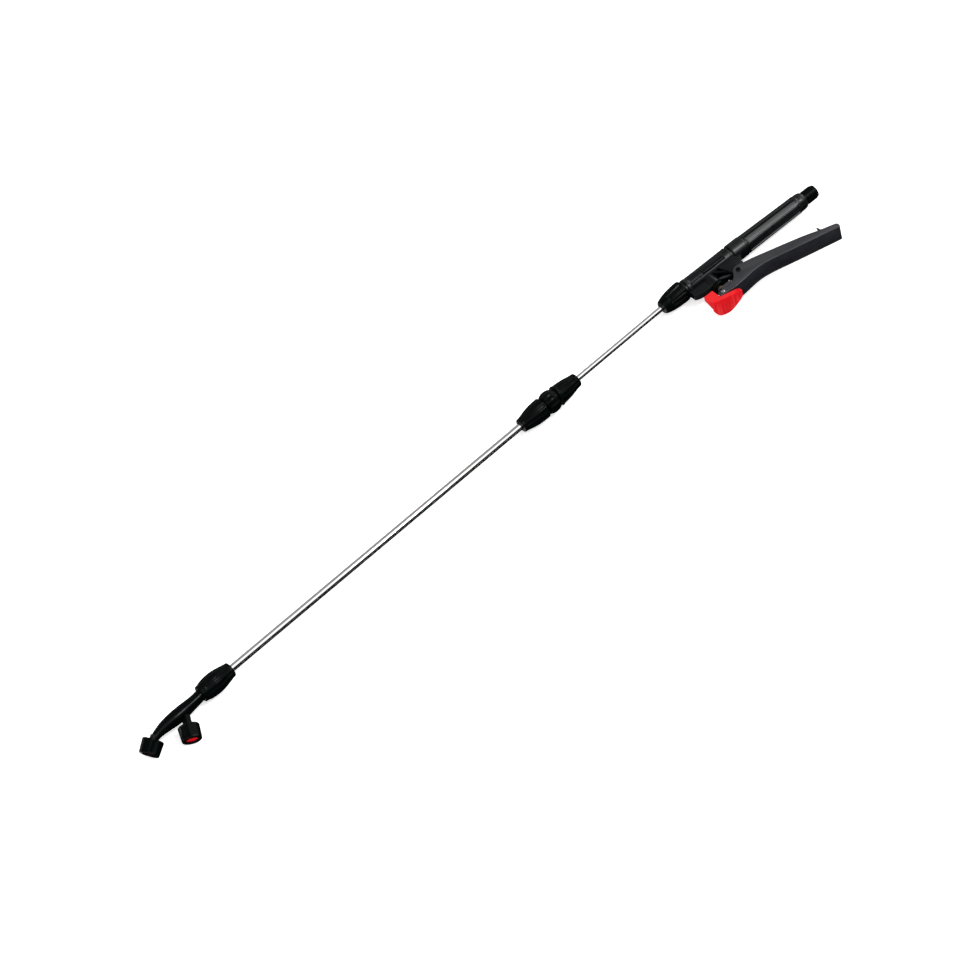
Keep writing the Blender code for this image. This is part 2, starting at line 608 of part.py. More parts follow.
def coupling():
    """Telescopic coupling: a ribbed barrel between two fluted compression nuts."""
    barrel = [(-0.2400, 0.0093), (-0.2130, 0.0093), (-0.2120, 0.0128), (-0.2085, 0.0148), (-0.2030, 0.0155),
              (-0.1975, 0.0148), (-0.1940, 0.0130), (-0.1930, 0.0093), (-0.1720, 0.0093)]
    bore = [(-0.2400, FRONT_TUBE_R + GAP), (-0.2055, FRONT_TUBE_R + GAP), (-0.2054, REAR_TUBE_R + GAP),
            (-0.1755, REAR_TUBE_R + GAP), (-0.1754, 0.0061), (-0.1720, 0.0061)]
    body = on_axis(turned("coupling_body", barrel, bore, 27), LANCE)
    cut(body, flutes("barrel_flutes", barrel, Groove(9, -0.2110, -0.1945, 0.0012, 0.0018), LANCE, 4))
    as_part(body, "black_plastic")
    front = [(-0.2540, 0.0088), (-0.2526, 0.0098), (-0.2444, 0.0114), (-0.2362, 0.0132), (-0.2280, 0.0142),
             (-0.2180, 0.0146), (-0.2150, 0.0140)]
    clamp_nut("coupling_front_nut", COUPLING_FRONT_NUT, front, Groove(12, -0.2515, -0.2165, 0.0010, 0.0020))
    collet("coupling_front_collet", COUPLING_FRONT_NUT)
    rear = [(-0.1910, 0.0139), (-0.1898, 0.0145), (-0.1880, 0.0138), (-0.1789, 0.0132), (-0.1707, 0.0121),
            (-0.1625, 0.0105), (-0.1562, 0.0094), (-0.1550, 0.0086)]
    clamp_nut("coupling_rear_nut", COUPLING_REAR_NUT, rear, Groove(12, -0.1885, -0.1575, 0.0010, 0.0020))
    collet("coupling_rear_collet", COUPLING_REAR_NUT)
    seal("coupling_o_ring", REAR_TUBE_R, -0.1735)


# ---------------------------------------------------------------- nozzle head
def head_nut():
    outer = [(-0.7987, 0.0104), (-0.7975, 0.0114), (-0.7935, 0.0118), (-0.7906, 0.0131), (-0.7830, 0.0141),
             (-0.7755, 0.0143), (-0.7680, 0.0136), (-0.7604, 0.0121), (-0.7529, 0.0105), (-0.7496, 0.0100),
             (-0.7486, 0.0092)]
    clamp_nut("head_nut", HEAD_NUT, outer, Groove(12, -0.7925, -0.7515, 0.0010, 0.0020))
    collet("head_collet", HEAD_NUT)
    seal("head_o_ring", FRONT_TUBE_R, -0.7673)


ARM = [  # forward, towards the lever's side, Z, radius
    (-0.0040, 0.0004, 0, 0.0076), (0.0090, 0.0014, 0, 0.0077), (0.0190, 0.0018, 0, 0.0084),
    (0.0300, 0.0022, 0, 0.0093), (0.0420, 0.0024, 0.0002, 0.0095), (0.0530, 0.0024, 0.0008, 0.0087),
    (0.0630, 0.0028, 0.0015, 0.0075), (0.0720, 0.0040, 0.0021, 0.0062), (0.0790, 0.0058, 0.0024, 0.0054),
]


def nozzle_arm():
    """Forked arm: a socket for the tube, a swelling bend to the tip nozzle and a branch to the side nozzle."""
    knots = smooth_path(ARM, 2)
    bar = path_tube("nozzle_arm", [knot[:3] for knot in knots], [knot[3] for knot in knots], HEAD, 3)
    socket = on_axis(turned("arm_socket", [(0.0005, 0.0088), (0.0325, 0.0088)], steps=24), HEAD)
    add(bar, socket)
    for name, back, out in (("arm_tip_end", TIP_BACK, TIP_OUT), ("arm_side_end", SIDE_BACK, SIDE_OUT)):
        reach, radius = (0.0060, 0.0053) if name == "arm_tip_end" else (0.0170, 0.0058)
        end = turned(name, [(-reach, radius), (-0.0005, radius), (-0.0003, 0.0053), (0.0092, 0.0053)], steps=20)
        add(bar, along_nozzle(end, back, out))
    hole = turned("arm_tube_hole", [(-0.0010, 0.0030), (0.0095, 0.0030), (0.0096, FRONT_TUBE_R + GAP),
                                    (0.0300, FRONT_TUBE_R + GAP), (0.0301, 0.0070), (0.0400, 0.0070)], steps=24)
    cut(bar, on_axis(hole, HEAD))
    route = smooth_path([knot[:3] for knot in ARM[:-1]], 1)
    cut(bar, path_tube("arm_passage", route, [0.0024] * len(route), HEAD, 1))
    for name, back, out in (("arm_tip_way", TIP_BACK, TIP_OUT), ("arm_side_way", SIDE_BACK, SIDE_OUT)):
        reach = 0.0100 if name == "arm_tip_way" else 0.0180
        way = turned(name, [(-reach, 0.0022), (0.0200, 0.0022)], steps=12)
        cut(bar, along_nozzle(way, back, out))
    return as_part(bar, "black_plastic")


def along_nozzle(obj, back, out):
    """Puts a turned piece on a nozzle's axis, counted from the cap's rear face; its profile's plane is down."""
    obj.rotation_mode = "QUATERNION"
    side = out.cross(Vector((0, 0, -1))).normalized()
    down = side.cross(out)
    turn = Matrix((down, side, out)).transposed()
    obj.parent = HEAD
    obj.location = (-back[0], -back[1], back[2])
    obj.rotation_quaternion = turn.to_quaternion()
    return obj


def cap_flutes(name):
    """Eight grooves between the ribs of a nozzle cap; they run out at its front rim."""
    bm = bmesh.new()
    for k in range(8):
        turn = Matrix.Rotation(2 * math.pi * (k + 0.5) / 8, 4, "Z")
        lean = Matrix.Rotation(math.atan2(CAP_TAPER, CAP_LENGTH), 4, "Y")
        centre = Matrix.Translation((CAP_R + 0.0012 - CAP_TAPER / 2, 0, CAP_LENGTH / 2))
        bmesh.ops.create_cone(bm, cap_ends=True, segments=8, radius1=0.0021, radius2=0.0021, depth=0.0300,
                              matrix=turn @ centre @ lean.inverted())
    return mesh_object(name, bm)


def nozzle(label, back, out):
    """One adjustable nozzle: cap, gasket, swirl core and red outlet disc."""
    front_r = CAP_R - CAP_TAPER
    outer = [(0.0, CAP_R - 0.0012), (0.0012, CAP_R - 0.0001), (CAP_LENGTH - 0.0010, front_r + 0.0001),
             (CAP_LENGTH, front_r - 0.0009)]
    bore = [(0.0, 0.0057), (0.0095, 0.0057), (0.0096, 0.0081), (0.0180, 0.0081), (0.0181, 0.0074),
            (CAP_LENGTH, 0.0080)]
    cap = turned(f"{label}_nozzle_cap", outer, bore, 24)
    along_nozzle(cap, back, out)
    cut(cap, along_nozzle(cap_flutes(f"{label}_cap_flutes"), back, out))
    as_part(cap, "black_plastic")
    gasket = turned(f"{label}_gasket", [(0.0100, 0.0077), (0.0114, 0.0077)],
                    [(0.0100, 0.0036), (0.0114, 0.0036)], 20)
    as_part(along_nozzle(gasket, back, out), "rubber_seal")
    core = turned(f"{label}_swirl_core", [(0.0118, 0.0070), (0.0143, 0.0070)], steps=20)
    along_nozzle(core, back, out)
    slot = bmesh.new()
    bmesh.ops.create_cube(slot, size=1.0, matrix=Matrix.Diagonal((0.0012, 0.03, 0.0020, 1)))
    groove = along_nozzle(mesh_object(f"{label}_core_groove", slot), back, out)
    groove.location = Vector(groove.location) + 0.0143 * out
    cut(core, groove)
    as_part(core, "natural_plastic")
    disc = turned(f"{label}_nozzle_disc", [(0.0147, 0.0077), (0.0176, 0.0077)],
                  [(0.0147, 0.0008), (0.0160, 0.0008), (0.0176, 0.0022)], 24)
    as_part(along_nozzle(disc, back, out), "red_plastic")


# ---------------------------------------------------------------- assembly
def settle():
    """Moves the whole lance so that the box of all its parts stands with its base's centre on the origin."""
    bpy.context.view_layer.update()
    graph = bpy.context.evaluated_depsgraph_get()
    low = Vector((math.inf,) * 3)
    high = Vector((-math.inf,) * 3)
    for obj in PARTS.objects:
        if obj.type == "EMPTY":
            continue
        seen = obj.evaluated_get(graph)
        shape = seen.to_mesh()
        for vertex in shape.vertices:
            point = seen.matrix_world @ vertex.co
            low = Vector(map(min, low, point))
            high = Vector(map(max, high, point))
        seen.to_mesh_clear()
    LANCE.location = (-(low.x + high.x) / 2, -(low.y + high.y) / 2, -low.z)
    bpy.context.view_layer.update()


def main():
    handle_nut()
    valve_body()
    valve_insides()
    grip()
    lever()
    pin("lever_pin", PIVOT_R, 0.0036, LEVER_HALF + GAP, PIVOT, "spring_steel")
    lock()
    pin("lock_pin", 0.0015, 0.0026, LEVER_HALF + GAP, LOCK_PIN, "spring_steel", 0.0008, 16)
    lance_tubes()
    coupling()
    head_nut()
    nozzle_arm()
    nozzle("tip", TIP_BACK, TIP_OUT)
    nozzle("side", SIDE_BACK, SIDE_OUT)
    settle()


main()
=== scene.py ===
"""Looks of a telescopic sprayer lance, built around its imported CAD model.

Units are metres.  Three frames carry the pieces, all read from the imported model: the lance frame, with X along the
tubes and its zero at the front face of the handle nut; the handle frame, with X along the grip and -Y towards the
lever; and the head frame, with its zero at the front face of the head nut and X pointing back along the lance.
In every frame Z points out of the upper flank, and stations are counted along X.
"""

import json
import math
from collections import namedtuple

import bmesh
import bpy
from mathutils import Matrix, Vector


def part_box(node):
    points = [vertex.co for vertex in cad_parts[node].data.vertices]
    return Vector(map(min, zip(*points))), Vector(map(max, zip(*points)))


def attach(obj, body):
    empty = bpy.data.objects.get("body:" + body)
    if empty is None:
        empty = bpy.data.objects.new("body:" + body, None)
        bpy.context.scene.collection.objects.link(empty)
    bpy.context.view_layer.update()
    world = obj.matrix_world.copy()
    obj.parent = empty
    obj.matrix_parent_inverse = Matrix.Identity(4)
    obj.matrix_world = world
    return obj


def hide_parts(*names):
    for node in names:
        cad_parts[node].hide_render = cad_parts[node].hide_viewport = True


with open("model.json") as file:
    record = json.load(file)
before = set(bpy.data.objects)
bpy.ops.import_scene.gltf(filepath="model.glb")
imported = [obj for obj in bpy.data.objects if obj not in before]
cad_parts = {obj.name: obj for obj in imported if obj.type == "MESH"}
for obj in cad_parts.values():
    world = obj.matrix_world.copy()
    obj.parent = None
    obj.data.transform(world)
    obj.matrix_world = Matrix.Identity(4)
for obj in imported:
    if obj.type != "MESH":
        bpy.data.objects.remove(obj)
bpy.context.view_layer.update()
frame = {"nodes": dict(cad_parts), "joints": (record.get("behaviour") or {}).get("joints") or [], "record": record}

JOINTS = {joint["name"]: joint for joint in frame["joints"]}
TAU = 2 * math.pi

# ---------------------------------------------------------------- frames and sizes shared with the CAD model
GAP = 0.0003                  # clearance between neighbouring pieces
PIVOT = (0.093, 0.038)        # lever pivot: along the grip, towards the lever
LOCK_PIN = (0.054, 0.0515)
STEM_X = 0.062                # valve boss and stem, along the grip
LEVER_HALF = 0.01225          # half the lever's width
CHEEK = 0.0025                # thickness of the lever's cheeks
PIVOT_HOLE_R = 0.0027
LOCK_HOLE_R = 0.0018
REAR_TUBE_R = 0.00375
FRONT_TUBE_R = 0.00475
TUBE_WALL = 0.0006
CAP_LENGTH = 0.0195
RING_STEP = 0.0009            # longest step along X between the rings of a fluted or ribbed piece


def frame_matrix(x_axis, y_axis, z_axis, origin):
    """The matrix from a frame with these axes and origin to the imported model's."""
    turn = Matrix((x_axis, y_axis, z_axis)).transposed().to_4x4()
    return Matrix.Translation(origin) @ turn


def joint_axis(name):
    return Vector(JOINTS[name]["axis"]).normalized()


def joint_place(name):
    return Vector(JOINTS[name]["pos_m"])


def handle_matrix():
    """The lever turns about Z and the stem comes out along -Y."""
    normal = joint_axis("lever_pull")
    lever_side = joint_axis("stem_pull")
    along = lever_side.cross(normal) * -1
    origin = joint_place("lever_pull") - along * PIVOT[0] - lever_side * PIVOT[1]
    return frame_matrix(along, -lever_side, normal, origin)


def head_matrix():
    """The side nozzle's axis and the lance's lie in the plane of the head."""
    back = Vector((1, 0, 0))
    normal = joint_axis("side_cap_turn").cross(back).normalized()
    origin = joint_place("lance_turn")
    origin.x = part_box("head_nut")[0].x
    return frame_matrix(back, normal.cross(back), normal, origin)


def nozzle_matrix(joint):
    """X along the nozzle's axis, out of it, with its zero at the cap's rear face; Z leans out of the head."""
    out = joint_axis(joint)
    side = HEAD.to_3x3().col[2].cross(out).normalized()
    return frame_matrix(out, side, out.cross(side), joint_place(joint))


LANCE = Matrix.Translation(joint_place("lance_turn"))
HANDLE = handle_matrix()
HEAD = head_matrix()
TIP = nozzle_matrix("tip_cap_turn")
SIDE = nozzle_matrix("side_cap_turn")
LANCE_TO_HANDLE = HANDLE.inverted() @ LANCE
TIP_TO_HEAD = HEAD.inverted() @ TIP
SIDE_TO_HEAD = HEAD.inverted() @ SIDE


# ---------------------------------------------------------------- outlines
def smooth_step(value):
    value = min(1.0, max(0.0, value))
    return value * value * (3 - 2 * value)


def curve_through(knots, per_span):
    """Points on a Catmull-Rom curve through knots; every knot is a tuple of numbers."""
    ends = [tuple(2 * a - b for a, b in zip(knots[0], knots[1]))]
    ends += list(knots)
    ends.append(tuple(2 * a - b for a, b in zip(knots[-1], knots[-2])))
    found = []
    for i in range(1, len(ends) - 2):
        for k in range(per_span):
            t = k / per_span
            found.append(tuple(
                0.5 * (2 * b + (c - a) * t + (2 * a - 5 * b + 4 * c - d) * t**2 + (3 * b - a - 3 * c + d) * t**3)
                for a, b, c, d in zip(ends[i - 1], ends[i], ends[i + 1], ends[i + 2])
            ))
    found.append(tuple(knots[-1]))
    return found


def rounded(corners, steps=4):
    """A closed outline from (x, y, cut) corners; a corner with a cut is replaced by a curve that long each way."""
    points = []
    for i, (x, y, cut) in enumerate(corners):
        here = Vector((x, y))
        before = Vector(corners[i - 1][:2]) - here
        after = Vector(corners[(i + 1) % len(corners)][:2]) - here
        if cut == 0:
            points.append((x, y))
            continue
        start = here + before.normalized() * min(cut, before.length * 0.49)
        end = here + after.normalized() * min(cut, after.length * 0.49)
        for k in range(steps + 1):
            t = k / steps
            point = start * (1 - t) ** 2 + here * (2 * t * (1 - t)) + end * t**2
            points.append((point.x, point.y))
    return points


def stretched(points, longest):
    """The same closed outline with extra points, so that no step along X is longer than that."""
    made = []
    for (x0, y0), (x1, y1) in zip(points, points[1:] + points[:1]):
        steps = max(1, math.ceil(abs(x1 - x0) / longest))
        made += [(x0 + (x1 - x0) * k / steps, y0 + (y1 - y0) * k / steps) for k in range(steps)]
    return made


def strut(x0, p0, x1, p1):
    """Outline of a straight stiffening rib, 2.4 mm wide, between two (station, towards the lever) points."""
    along = Vector((x1 - x0, p1 - p0)).normalized() * 0.0012
    return [(x0 + along.y, p0 - along.x), (x1 + along.y, p1 - along.x), (x1 - along.y, p1 + along.x),
            (x0 - along.y, p0 + along.x)]


# ---------------------------------------------------------------- solids, as bmeshes in a frame of their own
def rings_about_x(bm, profile, segments, shape):
    """A ring of points for each (station, radius); shape(station, radius, angle) may change the radius."""
    rings = []
    for station, radius in profile:
        ring = []
        for k in range(segments):
            angle = TAU * k / segments
            r = shape(station, radius, angle) if shape else radius
            ring.append(bm.verts.new((station, r * math.sin(angle), -r * math.cos(angle))))
        rings.append(ring)
    return rings


def skin(bm, near, far):
    """Faces between two rings of as many points."""
    for k in range(len(near)):
        bm.faces.new((near[k - 1], near[k], far[k], far[k - 1]))


def turned(outline, segments, shape=None):
    """Turns a closed outline of (station, radius) about X."""
    bm = bmesh.new()
    rings = rings_about_x(bm, outline, segments, shape)
    for near, far in zip(rings, rings[1:] + rings[:1]):
        skin(bm, near, far)
    bmesh.ops.recalc_face_normals(bm, faces=bm.faces)
    return bm


def solid_turned(profile, segments, shape=None):
    """Turns an open profile of (station, radius) about X and closes both ends; there is no bore."""
    bm = bmesh.new()
    rings = rings_about_x(bm, profile, segments, shape)
    for near, far in zip(rings, rings[1:]):
        skin(bm, near, far)
    for ring, station in ((rings[0], profile[0][0]), (rings[-1], profile[-1][0])):
        tip = bm.verts.new((station, 0, 0))
        for k in range(segments):
            bm.faces.new((ring[k - 1], ring[k], tip))
    bmesh.ops.recalc_face_normals(bm, faces=bm.faces)
    return bm


def raised(points, sweep):
    """A solid swept from a flat closed outline of points."""
    bm = bmesh.new()
    face = bm.faces.new([bm.verts.new(point) for point in points])
    swept = bmesh.ops.extrude_face_region(bm, geom=[face])
    top = [v for v in swept["geom"] if isinstance(v, bmesh.types.BMVert)]
    bmesh.ops.translate(bm, verts=top, vec=sweep)
    bmesh.ops.recalc_face_normals(bm, faces=bm.faces)
    return bm


def plate(outline, low, high, edge=0.0, steps=2):
    """A flat piece from a closed outline of (station, towards the lever) points, with softened rims."""
    bm = raised([(x, -p, low) for x, p in outline], (0, 0, high - low))
    if edge:
        rims = [e for e in bm.edges if abs(e.verts[0].co.z - e.verts[1].co.z) < 1e-7]
        bmesh.ops.bevel(bm, geom=rims, offset=edge, segments=steps, profile=0.5, affect="EDGES")
    return bm


def facing(outline, low, high):
    """A flat piece facing the lever's side: a closed outline of (station, Z) points, between two heights."""
    return raised([(x, -low, z) for x, z in outline], (0, low - high, 0))


def endways(outline, low, high):
    """A flat piece facing along the grip: an outline of (towards the lever, Z) points, between two stations."""
    return raised([(low, -p, z) for p, z in outline], (high - low, 0, 0))


def block(low, high, edge=0.0, steps=2):
    """A box between two corners given as (station, towards the lever, Z), with softened edges."""
    bm = bmesh.new()
    size = (high[0] - low[0], high[1] - low[1], high[2] - low[2])
    centre = ((high[0] + low[0]) / 2, -(high[1] + low[1]) / 2, (high[2] + low[2]) / 2)
    bmesh.ops.create_cube(bm, size=1.0, matrix=Matrix.Translation(centre) @ Matrix.Diagonal((*size, 1)))
    if edge:
        bmesh.ops.bevel(bm, geom=bm.edges[:], offset=edge, segments=steps, profile=0.5, affect="EDGES")
    return bm


def bar(points, radii, sides):
    """A round bar along (forward, towards the lever, Z) points of the head, with its radius at each point."""
    bm = bmesh.new()
    rings = []
    for i, (point, radius) in enumerate(zip(points, radii)):
        ahead = Vector(points[min(i + 1, len(points) - 1)]) - Vector(points[max(i - 1, 0)])
        sideways = Vector((-ahead.y, ahead.x, 0)).normalized()
        upright = ahead.cross(sideways).normalized()
        ring = []
        for k in range(sides):
            angle = TAU * k / sides
            u, p, z = Vector(point) + (sideways * math.cos(angle) + upright * math.sin(angle)) * radius
            ring.append(bm.verts.new((-u, -p, z)))
        rings.append(ring)
    for near, far in zip(rings, rings[1:]):
        skin(bm, near, far)
    bm.faces.new(rings[0])
    bm.faces.new(rings[-1])
    bmesh.ops.recalc_face_normals(bm, faces=bm.faces)
    return bm


def laid(bm, matrix):
    """Moves a bmesh from its own axes into another frame."""
    bmesh.ops.transform(bm, matrix=matrix, verts=bm.verts)
    return bm


def towards_lever(bm):
    """Stands a piece turned about X on the valve boss's axis, pointing to the lever, in the handle frame."""
    return laid(bm, Matrix.Translation((STEM_X, 0, 0)) @ Matrix.Rotation(-math.pi / 2, 4, "Z"))


def across(bm, point):
    """Lays a piece turned about X across the handle, through a (station, towards the lever) point."""
    return laid(bm, Matrix.Translation((point[0], -point[1], 0)) @ Matrix.Rotation(-math.pi / 2, 4, "Y"))


def pin_hole(radius, sides, point):
    """The cutter for a pin's hole right across the handle."""
    return across(solid_turned([(-0.02, radius), (0.02, radius)], sides), point)


# ---------------------------------------------------------------- joining, cutting and finishing
def loose(name, bm):
    """An object made of a bmesh, which is used up."""
    data = bpy.data.meshes.new(name)
    bm.to_mesh(data)
    bm.free()
    made = bpy.data.objects.new(name, data)
    bpy.context.scene.collection.objects.link(made)
    return made


def evaluated(obj):
    """Replaces an object's mesh by what its modifiers make of it."""
    bpy.context.view_layer.update()
    graph = bpy.context.evaluated_depsgraph_get()
    data = bpy.data.meshes.new_from_object(obj.evaluated_get(graph))
    obj.modifiers.clear()
    old = obj.data
    obj.data = data
    bpy.data.meshes.remove(old)


def taken_back(obj):
    """The bmesh of an object, which is removed."""
    made = bmesh.new()
    made.from_mesh(obj.data)
    bpy.data.objects.remove(obj, do_unlink=True)
    return made


UNION = "UNION"
LESS = "DIFFERENCE"
COMMON = "INTERSECT"
WELD = 0.000002               # points nearer to each other than this are one


def joined(base, steps):
    """base is a bmesh, and steps are (operation, bmesh) pairs done in turn with exact booleans; gives a bmesh."""
    obj = loose("work", base)
    for operation, bm in steps:
        tool = loose("tool", bm)
        cut = obj.modifiers.new("cut", "BOOLEAN")
        cut.operation = operation
        cut.solver = "EXACT"
        cut.object = tool
        evaluated(obj)
        bpy.data.objects.remove(tool, do_unlink=True)
    made = taken_back(obj)
    bmesh.ops.remove_doubles(made, verts=made.verts, dist=WELD)
    bmesh.ops.dissolve_degenerate(made, edges=made.edges, dist=WELD)
    bmesh.ops.recalc_face_normals(made, faces=made.faces)
    return made


def softened(bm, width, steps, angle):
    """Bevels the edges of a joined solid that turn by more than angle, in degrees."""
    obj = loose("work", bm)
    edge = obj.modifiers.new("edge", "BEVEL")
    edge.width = width
    edge.segments = steps
    edge.limit_method = "ANGLE"
    edge.angle_limit = math.radians(angle)
    edge.use_clamp_overlap = True
    evaluated(obj)
    return taken_back(obj)


SHARP = math.radians(32)      # edges that turn by more than this stay sharp


def piece(name, bm, matrix, body, material, node):
    """Makes the finished piece: smooth but for its sharp edges, in place, riding on its body, for its CAD node."""
    bmesh.ops.transform(bm, matrix=matrix, verts=bm.verts)
    for face in bm.faces:
        face.smooth = True
    for edge in bm.edges:
        edge.smooth = len(edge.link_faces) == 2 and edge.calc_face_angle(0.0) < SHARP
    made = loose(name, bm)
    made.data.materials.append(material)
    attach(made, body)
    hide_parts(node)


# ---------------------------------------------------------------- materials
class Nodes:
    """A material's node tree, with short calls for the nodes used here."""

    def __init__(self, name):
        self.material = bpy.data.materials.new(name)
        self.material.use_nodes = True
        self.tree = self.material.node_tree
        self.shader = self.tree.nodes["Principled BSDF"]
        self.place = self.add("ShaderNodeTexCoord").outputs["Object"]

    def add(self, kind, **settings):
        node = self.tree.nodes.new(kind)
        for key, value in settings.items():
            setattr(node, key, value)
        return node

    def link(self, source, target):
        self.tree.links.new(source, target)

    def noise(self, scale, detail, stretch=(1, 1, 1)):
        """Fractal noise over the object, with about scale cells to the metre."""
        squeeze = self.add("ShaderNodeMapping")
        squeeze.inputs["Scale"].default_value = stretch
        self.link(self.place, squeeze.inputs["Vector"])
        texture = self.add("ShaderNodeTexNoise")
        texture.inputs["Scale"].default_value = scale
        texture.inputs["Detail"].default_value = detail
        self.link(squeeze.outputs[0], texture.inputs["Vector"])
        return texture.outputs[0]

    def ranged(self, value, low, high, to_low, to_high):
        """Carries a value from one range to another, and no further than its ends."""
        node = self.add("ShaderNodeMapRange")
        for key, number in (("From Min", low), ("From Max", high), ("To Min", to_low), ("To Max", to_high)):
            node.inputs[key].default_value = number
        self.link(value, node.inputs["Value"])
        return node.outputs[0]

    def mixed(self, share, first, second):
        """Mixes two colours; each is a colour or another node's output."""
        node = self.add("ShaderNodeMix", data_type="RGBA")
        self.link(share, node.inputs["Factor"])
        for key, colour in (("A", first), ("B", second)):
            socket = [s for s in node.inputs if s.name == key and s.type == "RGBA"][0]
            if isinstance(colour, tuple):
                socket.default_value = (*colour, 1.0)
            else:
                self.link(colour, socket)
        return [s for s in node.outputs if s.type == "RGBA"][0]

    def worn_and_highlit_edges(self):
        """Near 1 on a piece's outer edges, and 0 elsewhere: where wear and a painted highlight lighten them."""
        geometry = self.add("ShaderNodeNewGeometry")
        return self.ranged(geometry.outputs["Pointiness"], 0.53, 0.60, 0.0, 1.0)

    def bump(self, height, strength, distance, below=None):
        """A bumped normal, on top of another where one is given."""
        node = self.add("ShaderNodeBump")
        node.inputs["Strength"].default_value = strength
        node.inputs["Distance"].default_value = distance
        self.link(height, node.inputs["Height"])
        if below is not None:
            self.link(below, node.inputs["Normal"])
        return node.outputs[0]

    def set(self, **values):
        """Sets the shader's own sockets; a value that is a node's output is linked."""
        for key, value in values.items():
            socket = self.shader.inputs[key.replace("_", " ")]
            if isinstance(value, bpy.types.NodeSocket):
                self.link(value, socket)
            else:
                socket.default_value = value


def moulded_plastic(name, deep, light, rough, shine, grain, edge_wear_and_highlight):
    """Moulded plastic: a fine spark-eroded grain, mottling between two colours, and outer edges lightened to a third
    colour, which is edge wear and a painted highlight.
    """
    nodes = Nodes(name)
    mottled = nodes.mixed(nodes.ranged(nodes.noise(70, 4), 0.35, 0.68, 0.0, 1.0), deep, light)
    # outer edges lightened towards the third colour: wear, and a painted highlight on crests and rims
    rubbed_and_highlit = nodes.mixed(nodes.ranged(nodes.worn_and_highlit_edges(), 0.0, 1.0, 0.0, 0.35), mottled, edge_wear_and_highlight)
    smear = nodes.noise(38, 5, (0.5, 1, 1))
    fine = nodes.bump(nodes.noise(2600, 2), grain, 0.00012)
    waves = nodes.bump(nodes.noise(120, 2), 0.05, 0.0006, fine)
    nodes.set(Base_Color=rubbed_and_highlit, Roughness=nodes.ranged(smear, 0.3, 0.7, *rough), Normal=waves,
              Specular_IOR_Level=shine)
    return nodes.material


def stainless(name):
    """Polished stainless tube: lengthwise drawing marks and a few faint scratches."""
    nodes = Nodes(name)
    drawn = nodes.noise(900, 3, (0.012, 1, 1))
    cloudy = nodes.noise(26, 3)
    tone = nodes.mixed(nodes.ranged(cloudy, 0.3, 0.7, 0.0, 1.0), (0.93, 0.93, 0.92), (0.87, 0.87, 0.865))
    nodes.set(Base_Color=tone, Metallic=1.0, Roughness=nodes.ranged(drawn, 0.3, 0.75, 0.05, 0.12),
              Normal=nodes.bump(drawn, 0.05, 0.00005))
    return nodes.material


def plain_metal(name, colour, dark, roughness, marks):
    """Turned or drawn metal with fine marks."""
    nodes = Nodes(name)
    tool = nodes.noise(marks, 3)
    tone = nodes.mixed(nodes.ranged(tool, 0.35, 0.7, 0.0, 1.0), colour, dark)
    rough = nodes.ranged(tool, 0.3, 0.7, roughness - 0.05, roughness + 0.08)
    nodes.set(Base_Color=tone, Metallic=1.0, Roughness=rough, Normal=nodes.bump(tool, 0.12, 0.0001))
    return nodes.material


def soft_rubber(name):
    """Black seal rubber with a faint grey bloom."""
    nodes = Nodes(name)
    share = nodes.ranged(nodes.noise(300, 4), 0.45, 0.75, 0.0, 1.0)
    bloom = nodes.mixed(share, (0.012, 0.012, 0.012), (0.04, 0.04, 0.04))
    nodes.set(Base_Color=bloom, Roughness=nodes.ranged(nodes.noise(140, 3), 0.3, 0.7, 0.62, 0.85),
              Normal=nodes.bump(nodes.noise(1800, 3), 0.2, 0.0001))
    return nodes.material


# the last colour of each plastic is its outer edges' colour: wear and a painted highlight
BLACK = moulded_plastic(
    "black_moulded", (0.0005, 0.0014, 0.0012), (0.0012, 0.0025, 0.0023),
    (0.20, 0.30), 0.06, 0.06, (0.05, 0.06, 0.058))
BODY_BLACK = moulded_plastic(
    "body_moulded", (0.0008, 0.0018, 0.0020), (0.0022, 0.0036, 0.0042),
    (0.26, 0.38), 0.24, 0.08, (0.07, 0.08, 0.085))
GRIP_BLACK = moulded_plastic(
    "grip_moulded", (0.0010, 0.0018, 0.0020), (0.0025, 0.0038, 0.0042),
    (0.28, 0.40), 0.36, 0.10, (0.05, 0.06, 0.06))
LEVER_BLACK = moulded_plastic(
    "lever_moulded", (0.0052, 0.0058, 0.0105), (0.0100, 0.0106, 0.0160),
    (0.36, 0.48), 0.85, 0.14, (0.045, 0.05, 0.052))
RED = moulded_plastic(
    "red_moulded", (0.56, 0.0004, 0.004), (0.62, 0.0010, 0.008),
    (0.30, 0.42), 0.04, 0.03, (0.90, 0.06, 0.06))
NATURAL = moulded_plastic(
    "natural_moulded", (0.60, 0.58, 0.52), (0.68, 0.66, 0.60),
    (0.40, 0.55), 0.5, 0.08, (0.72, 0.70, 0.66))
STEEL = stainless("stainless_tube")
PIN_STEEL = plain_metal("pin_steel", (0.50, 0.50, 0.51), (0.38, 0.38, 0.39), 0.30, 900)
BRASS = plain_metal("turned_brass", (0.66, 0.47, 0.19), (0.52, 0.36, 0.14), 0.26, 1200)
RUBBER = soft_rubber("seal_rubber")

SLOT_FINISH = {
    "black_plastic": BLACK,
    "steel_tube": STEEL,
    "red_plastic": RED,
    "rubber_seal": RUBBER,
    "natural_plastic": NATURAL,
    "spring_steel": PIN_STEEL,
    "brass": BRASS,
}


def finish_cad_nodes():
    """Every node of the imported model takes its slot's finish, so the ones that stay in view are finished too."""
    slots = {part["node"]: part["material_slot"] for part in frame["record"]["subparts"]}
    for name, obj in frame["nodes"].items():
        obj.data.materials.clear()
        obj.data.materials.append(SLOT_FINISH[slots[name]])


# ---------------------------------------------------------------- ribbed nuts and the coupling barrel
Ribs = namedtuple("Ribs", "count first last depth share")   # share: half a groove's width over the pitch
Nut = namedtuple("Nut", "face seat back tube_r thread_r")
FACE_LENGTH = 0.005           # length of a nut's plain hole, up to the foot of its cone
RUN_OUT = 0.0032              # length over which a groove fades in or out
STEPS_PER_RIB = 14


